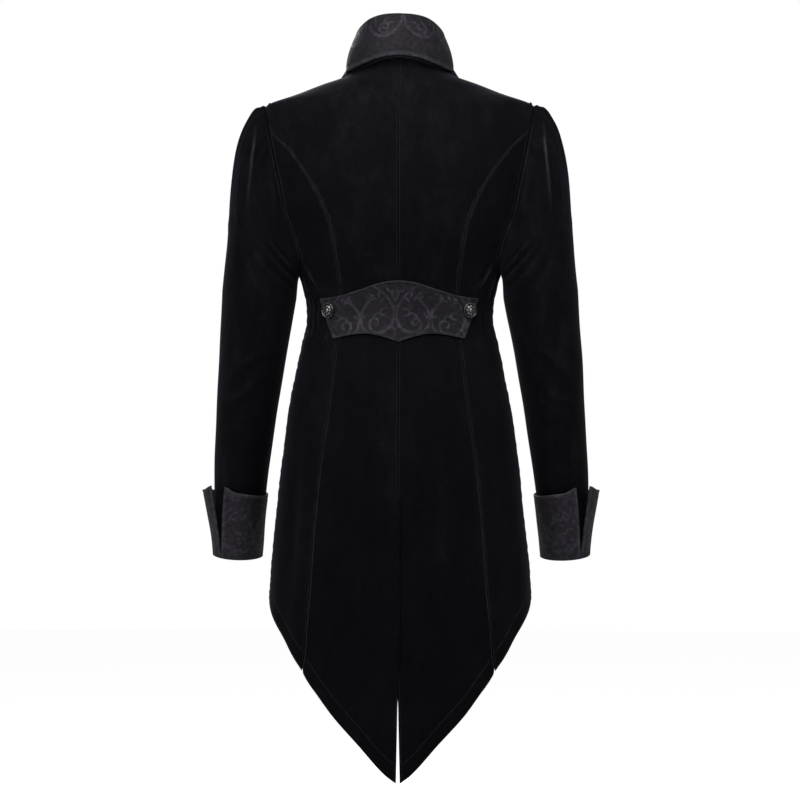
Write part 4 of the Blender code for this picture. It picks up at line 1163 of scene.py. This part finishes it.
buttonSize = {
    "radius": 0.0103, "height": 0.0062, "seat": 0.0006, "sides": 96, "petals": 8, "beads": 26,
    "petalRing": (0.30, 0.80), "beadRing": (0.88, 0.99), "petalRise": 0.00055, "veinDepth": 0.00015,
    "beadRise": 0.00030, "beltPlace": (0.0945, -0.3255), "frontTop": -0.098, "frontStep": 0.070,
    "frontCount": 5,
}
buttonProfile = {
    "columns": "radius height",
    "rows": [
        (0.000, 0.000), (0.600, 0.000), (0.615, 0.060), (0.620, 0.250), (0.900, 0.300), (0.985, 0.350),
        (1.000, 0.430), (0.995, 0.520), (0.960, 0.590), (0.920, 0.600), (0.885, 0.560), (0.850, 0.530),
        (0.815, 0.550), (0.780, 0.640), (0.740, 0.705), (0.690, 0.760), (0.630, 0.810), (0.560, 0.850),
        (0.490, 0.880), (0.420, 0.900), (0.360, 0.900), (0.310, 0.880), (0.270, 0.880), (0.230, 0.920),
        (0.180, 0.960), (0.120, 0.985), (0.060, 0.998), (0.000, 1.000),
    ],
}


def buttonAxes(normal):
    out = unit(np.cross(normal, [0, 0, 1.0]))
    return out, np.cross(out, normal)


def buttonRelief(r, angle, height):   # how far the metal rises, and how bright it is; r and height as shares
    (petalFrom, petalTo), (beadFrom, beadTo) = buttonSize["petalRing"], buttonSize["beadRing"]
    if height > 0.5 and petalFrom < r < petalTo:
        petal = abs(math.cos(angle * buttonSize["petals"] / 2 + 0.5 * (r - 0.5)))
        vein = math.exp(-((petal - 1) / 0.02) ** 2)
        shape = petal**0.6 * math.sin(math.pi * (r - petalFrom) / (petalTo - petalFrom))
        return buttonSize["petalRise"] * shape - buttonSize["veinDepth"] * vein, 0.15 + 0.75 * shape
    if height > 0.45 and beadFrom < r < beadTo:
        bead = abs(math.cos(angle * buttonSize["beads"] / 2))
        return buttonSize["beadRise"] * bead, 0.20 + 0.70 * bead
    if height > 0.5 and r < petalFrom:
        return 0, 0.75
    return 0, (0.0 if height > 0.45 and petalTo <= r <= beadFrom else 0.35)


def makeButton(name, node, place, normal):
    out, up = buttonAxes(normal)
    builder = bmesh.new()
    edges, last = [], None
    for radius, height in buttonProfile["rows"]:
        vert = builder.verts.new((radius * buttonSize["radius"], 0, height * buttonSize["height"]))
        if last:
            edges.append(builder.edges.new((last, vert)))
        last = vert
    bmesh.ops.spin(builder, geom=builder.verts[:] + edges, cent=(0, 0, 0), axis=(0, 0, 1), angle=2 * math.pi,
                   steps=buttonSize["sides"], use_merge=True)
    bmesh.ops.remove_doubles(builder, verts=builder.verts[:], dist=0.000002)
    bmesh.ops.recalc_face_normals(builder, faces=builder.faces[:])
    mark = builder.verts.layers.float.new("relief")
    turn = Matrix((out, up, normal)).transposed()
    for vert in builder.verts:
        x, y, z = vert.co
        r = math.hypot(x, y) / buttonSize["radius"]
        rise, vert[mark] = buttonRelief(r, math.atan2(y, x), z / buttonSize["height"])
        vert.co.z += rise
        vert.co = turn @ vert.co + Vector(place)
    piece = finishMesh(builder, name)
    piece.data.shade_smooth()
    dress(piece, silver, "button_metal", node)


def makeButtons():
    x, z = buttonSize["beltPlace"]
    angle = float(angleAt(x, np.array(z)))
    normal = bodyNormal(angle, z)
    seat = bodySurface(angle, z) + normal * (beltCut["lift"] + cut["brocade"] + buttonSize["seat"])
    for side, word in ((1, "left"), (-1, "right")):
        mirror = np.array([side, 1, 1])
        makeButton(f"beltButton_{word}Metal", f"belt_button_{word}", seat * mirror, normal * mirror)
    for number in range(buttonSize["frontCount"]):
        z = buttonSize["frontTop"] - buttonSize["frontStep"] * number
        normal = unit(bodyNormal(180.0, z) * [0, 1, 1])
        seat = bodySurface(180.0, z) * [0, 1, 1] + normal * (cut["lapRise"] + buttonSize["seat"])
        makeButton(f"frontButton{number + 1}Metal", f"front_button_{number + 1}", seat, normal)
    print("buttons made")


makeButtons()


# Stitches: short twists of thread, laid end to end along the seams

stitch = {"length": 0.0024, "step": 0.0034, "width": 0.00042, "rise": 0.0002, "seamAside": 0.0022,
          "ventAside": 0.0024, "seamTop": -0.080}


def rowPath(places, aside):   # a line beside a panel's edge
    edge = resample(places, 400)
    edge[:, 0] += turnFor(edge[:, 0], edge[:, 1], aside)
    return edge


def addStitches(builder, places, side):
    flat = bodySurface(places[:, 0], places[:, 1])
    normals = bodyNormal(places[:, 0], places[:, 1])
    lift = -creaseDepth(places[:, 0], places[:, 1], side) + stitch["rise"]
    lift += handWave(flat * [side, 1, 1], panelLook["waveSize"], panelLook["waveHeight"])
    points = (flat + normals * lift[:, None]) * [side, 1, 1]
    normals = normals * [side, 1, 1]
    run = np.concatenate([[0], np.cumsum(np.linalg.norm(np.diff(points, axis=0), axis=1))])
    for start in np.arange(0.003, run[-1] - 0.004, stitch["step"]):
        first, last = (np.array([np.interp(place, run, points[:, k]) for k in range(3)])
                       for place in (start, start + stitch["length"]))
        normal = unit(np.array([np.interp(start, run, normals[:, k]) for k in range(3)]))
        over = np.cross(unit(last - first), normal) * stitch["width"] / 2
        up = normal * stitch["width"] / 2
        rings = []
        for place, swell, sink in ((first, 0.5, -1.2), ((first + last) / 2, 1.0, 0.3), (last, 0.5, -1.2)):
            rings.append([builder.verts.new(place + (over * a + up * b) * swell + up * sink)
                          for a, b in ((1, 0), (0, 1), (-1, 0), (0, -1))])
        for low, high in zip(rings, rings[1:]):
            for i in range(4):
                builder.faces.new((low[i], low[(i + 1) % 4], high[(i + 1) % 4], high[i]))
        builder.faces.new(rings[0][::-1])
        builder.faces.new(rings[-1])


def makeStitching():
    back, sideBack, front = (panels[kind] for kind in ("back", "side_back", "front"))
    lowSeam = back[:, -1][back[:, -1, 1] < stitch["seamTop"]]
    builder = bmesh.new()
    for side in (1, -1):
        for edge, aside in ((back[:, 0], stitch["ventAside"]), (lowSeam, -stitch["seamAside"]),
                            (sideBack[:, 0], stitch["seamAside"])):
            addStitches(builder, rowPath(edge, aside), side)
        for panel in (back, sideBack, front):
            fromFoot = edgeDistances(bodySurface(panel[..., 0], panel[..., 1]))[2]
            line = [[np.interp(panelLook["hemStitch"], fromFoot[::-1, i], panel[::-1, i, k]) for k in (0, 1)]
                    for i in range(1, panel.shape[1] - 1)]
            addStitches(builder, resample(line, 300), side)
    bmesh.ops.recalc_face_normals(builder, faces=builder.faces[:])
    dress(finishMesh(builder, "velvetStitches"), velvetThread, "velvet")
    print("stitches made")


makeStitching()


# Floor, camera and light

stageLook = {"size": 9, "z": -1.50, "tone": 0.93, "seenGlow": 0.74, "skyAsLight": 0.24, "skySeen": 1.0}
# The coat stands turned by a degree and a half from square on
cameraPlace = {"lens": 128.57, "sensor": 36, "distance": 4, "z": -0.4494, "turned": 1.5}
lights = {
    "columns": "name place aim size power spread",
    "rows": [
        ("overhead", (0.2, 1.7, 1.9), (0, 0, -0.15), (1.8, 1.0), 53, 180),
        ("keyLeft", (2.0, 2.6, 1.2), (0, 0, -0.1), (1.2, 1.2), 12, 70),
        ("keyRight", (-2.4, 2.1, 1.3), (0, 0, 0.0), (1.2, 1.2), 9, 70),
        ("lowFill", (0.0, 1.5, -0.75), (0, 0.07, 0.0), (0.25, 0.12), 0.13, 16),
        ("frontFill", (0.8, -3.2, 1.4), (0, 0, -0.40), (2.0, 2.0), 60, 180),
    ],
}


def makeStage():
    builder = bmesh.new()
    bmesh.ops.create_grid(builder, x_segments=1, y_segments=1, size=stageLook["size"])
    floor = finishMesh(builder, "floor")
    floor.location = (0, 0, stageLook["z"])
    pale, nodes, shader = newFinish("paleFloor")
    setInputs(shader, {"Base Color": scaled((1, 1, 1), stageLook["tone"]), "Roughness": 0.9,
                       "Emission Color": (1, 1, 1, 1)})
    seen = addNode(nodes, "ShaderNodeMath", {1: stageLook["seenGlow"]}, operation="MULTIPLY")
    join(addNode(nodes, "ShaderNodeLightPath"), "Is Camera Ray", seen, 0)
    join(seen, 0, shader, "Emission Strength")
    floor.data.materials.append(pale)


def makeSky():   # white behind the coat, and dimmer as a light on it
    world = bpy.context.scene.world or bpy.data.worlds.new("world")
    bpy.context.scene.world = world
    world.use_nodes = True
    nodes = world.node_tree.nodes
    glow = nodes["Background"]
    setInputs(glow, {"Color": (1, 1, 1, 1)})
    dim = addNode(nodes, "ShaderNodeMapRange", {"To Min": stageLook["skyAsLight"],
                                                "To Max": stageLook["skySeen"]})
    join(addNode(nodes, "ShaderNodeLightPath"), "Is Camera Ray", dim, "Value")
    join(dim, "Result", glow, "Strength")


def addLight(name, place, aim, size, power, spread):
    data = bpy.data.lights.new(name, "AREA")
    data.shape = "RECTANGLE"
    data.size, data.size_y = size
    data.energy = power
    data.spread = math.radians(spread)
    light = bpy.data.objects.new(name, data)
    light.location = place
    light.rotation_euler = (Vector(aim) - Vector(place)).to_track_quat("-Z", "Y").to_euler()
    bpy.context.scene.collection.objects.link(light)


def makeCamera():
    data = bpy.data.cameras.new("camera")
    data.lens, data.sensor_width = cameraPlace["lens"], cameraPlace["sensor"]
    camera = bpy.data.objects.new("camera", data)
    turned, away = math.radians(cameraPlace["turned"]), cameraPlace["distance"]
    camera.location = (-away * math.sin(turned), away * math.cos(turned), cameraPlace["z"])
    camera.rotation_euler = (math.radians(90), 0, math.radians(180) + turned)
    bpy.context.scene.collection.objects.link(camera)
    bpy.context.scene.camera = camera


makeStage()
makeSky()
makeCamera()
for row in lights["rows"]:
    addLight(*row)
bpy.context.scene.view_settings.view_transform = "Standard"
print("stage made")
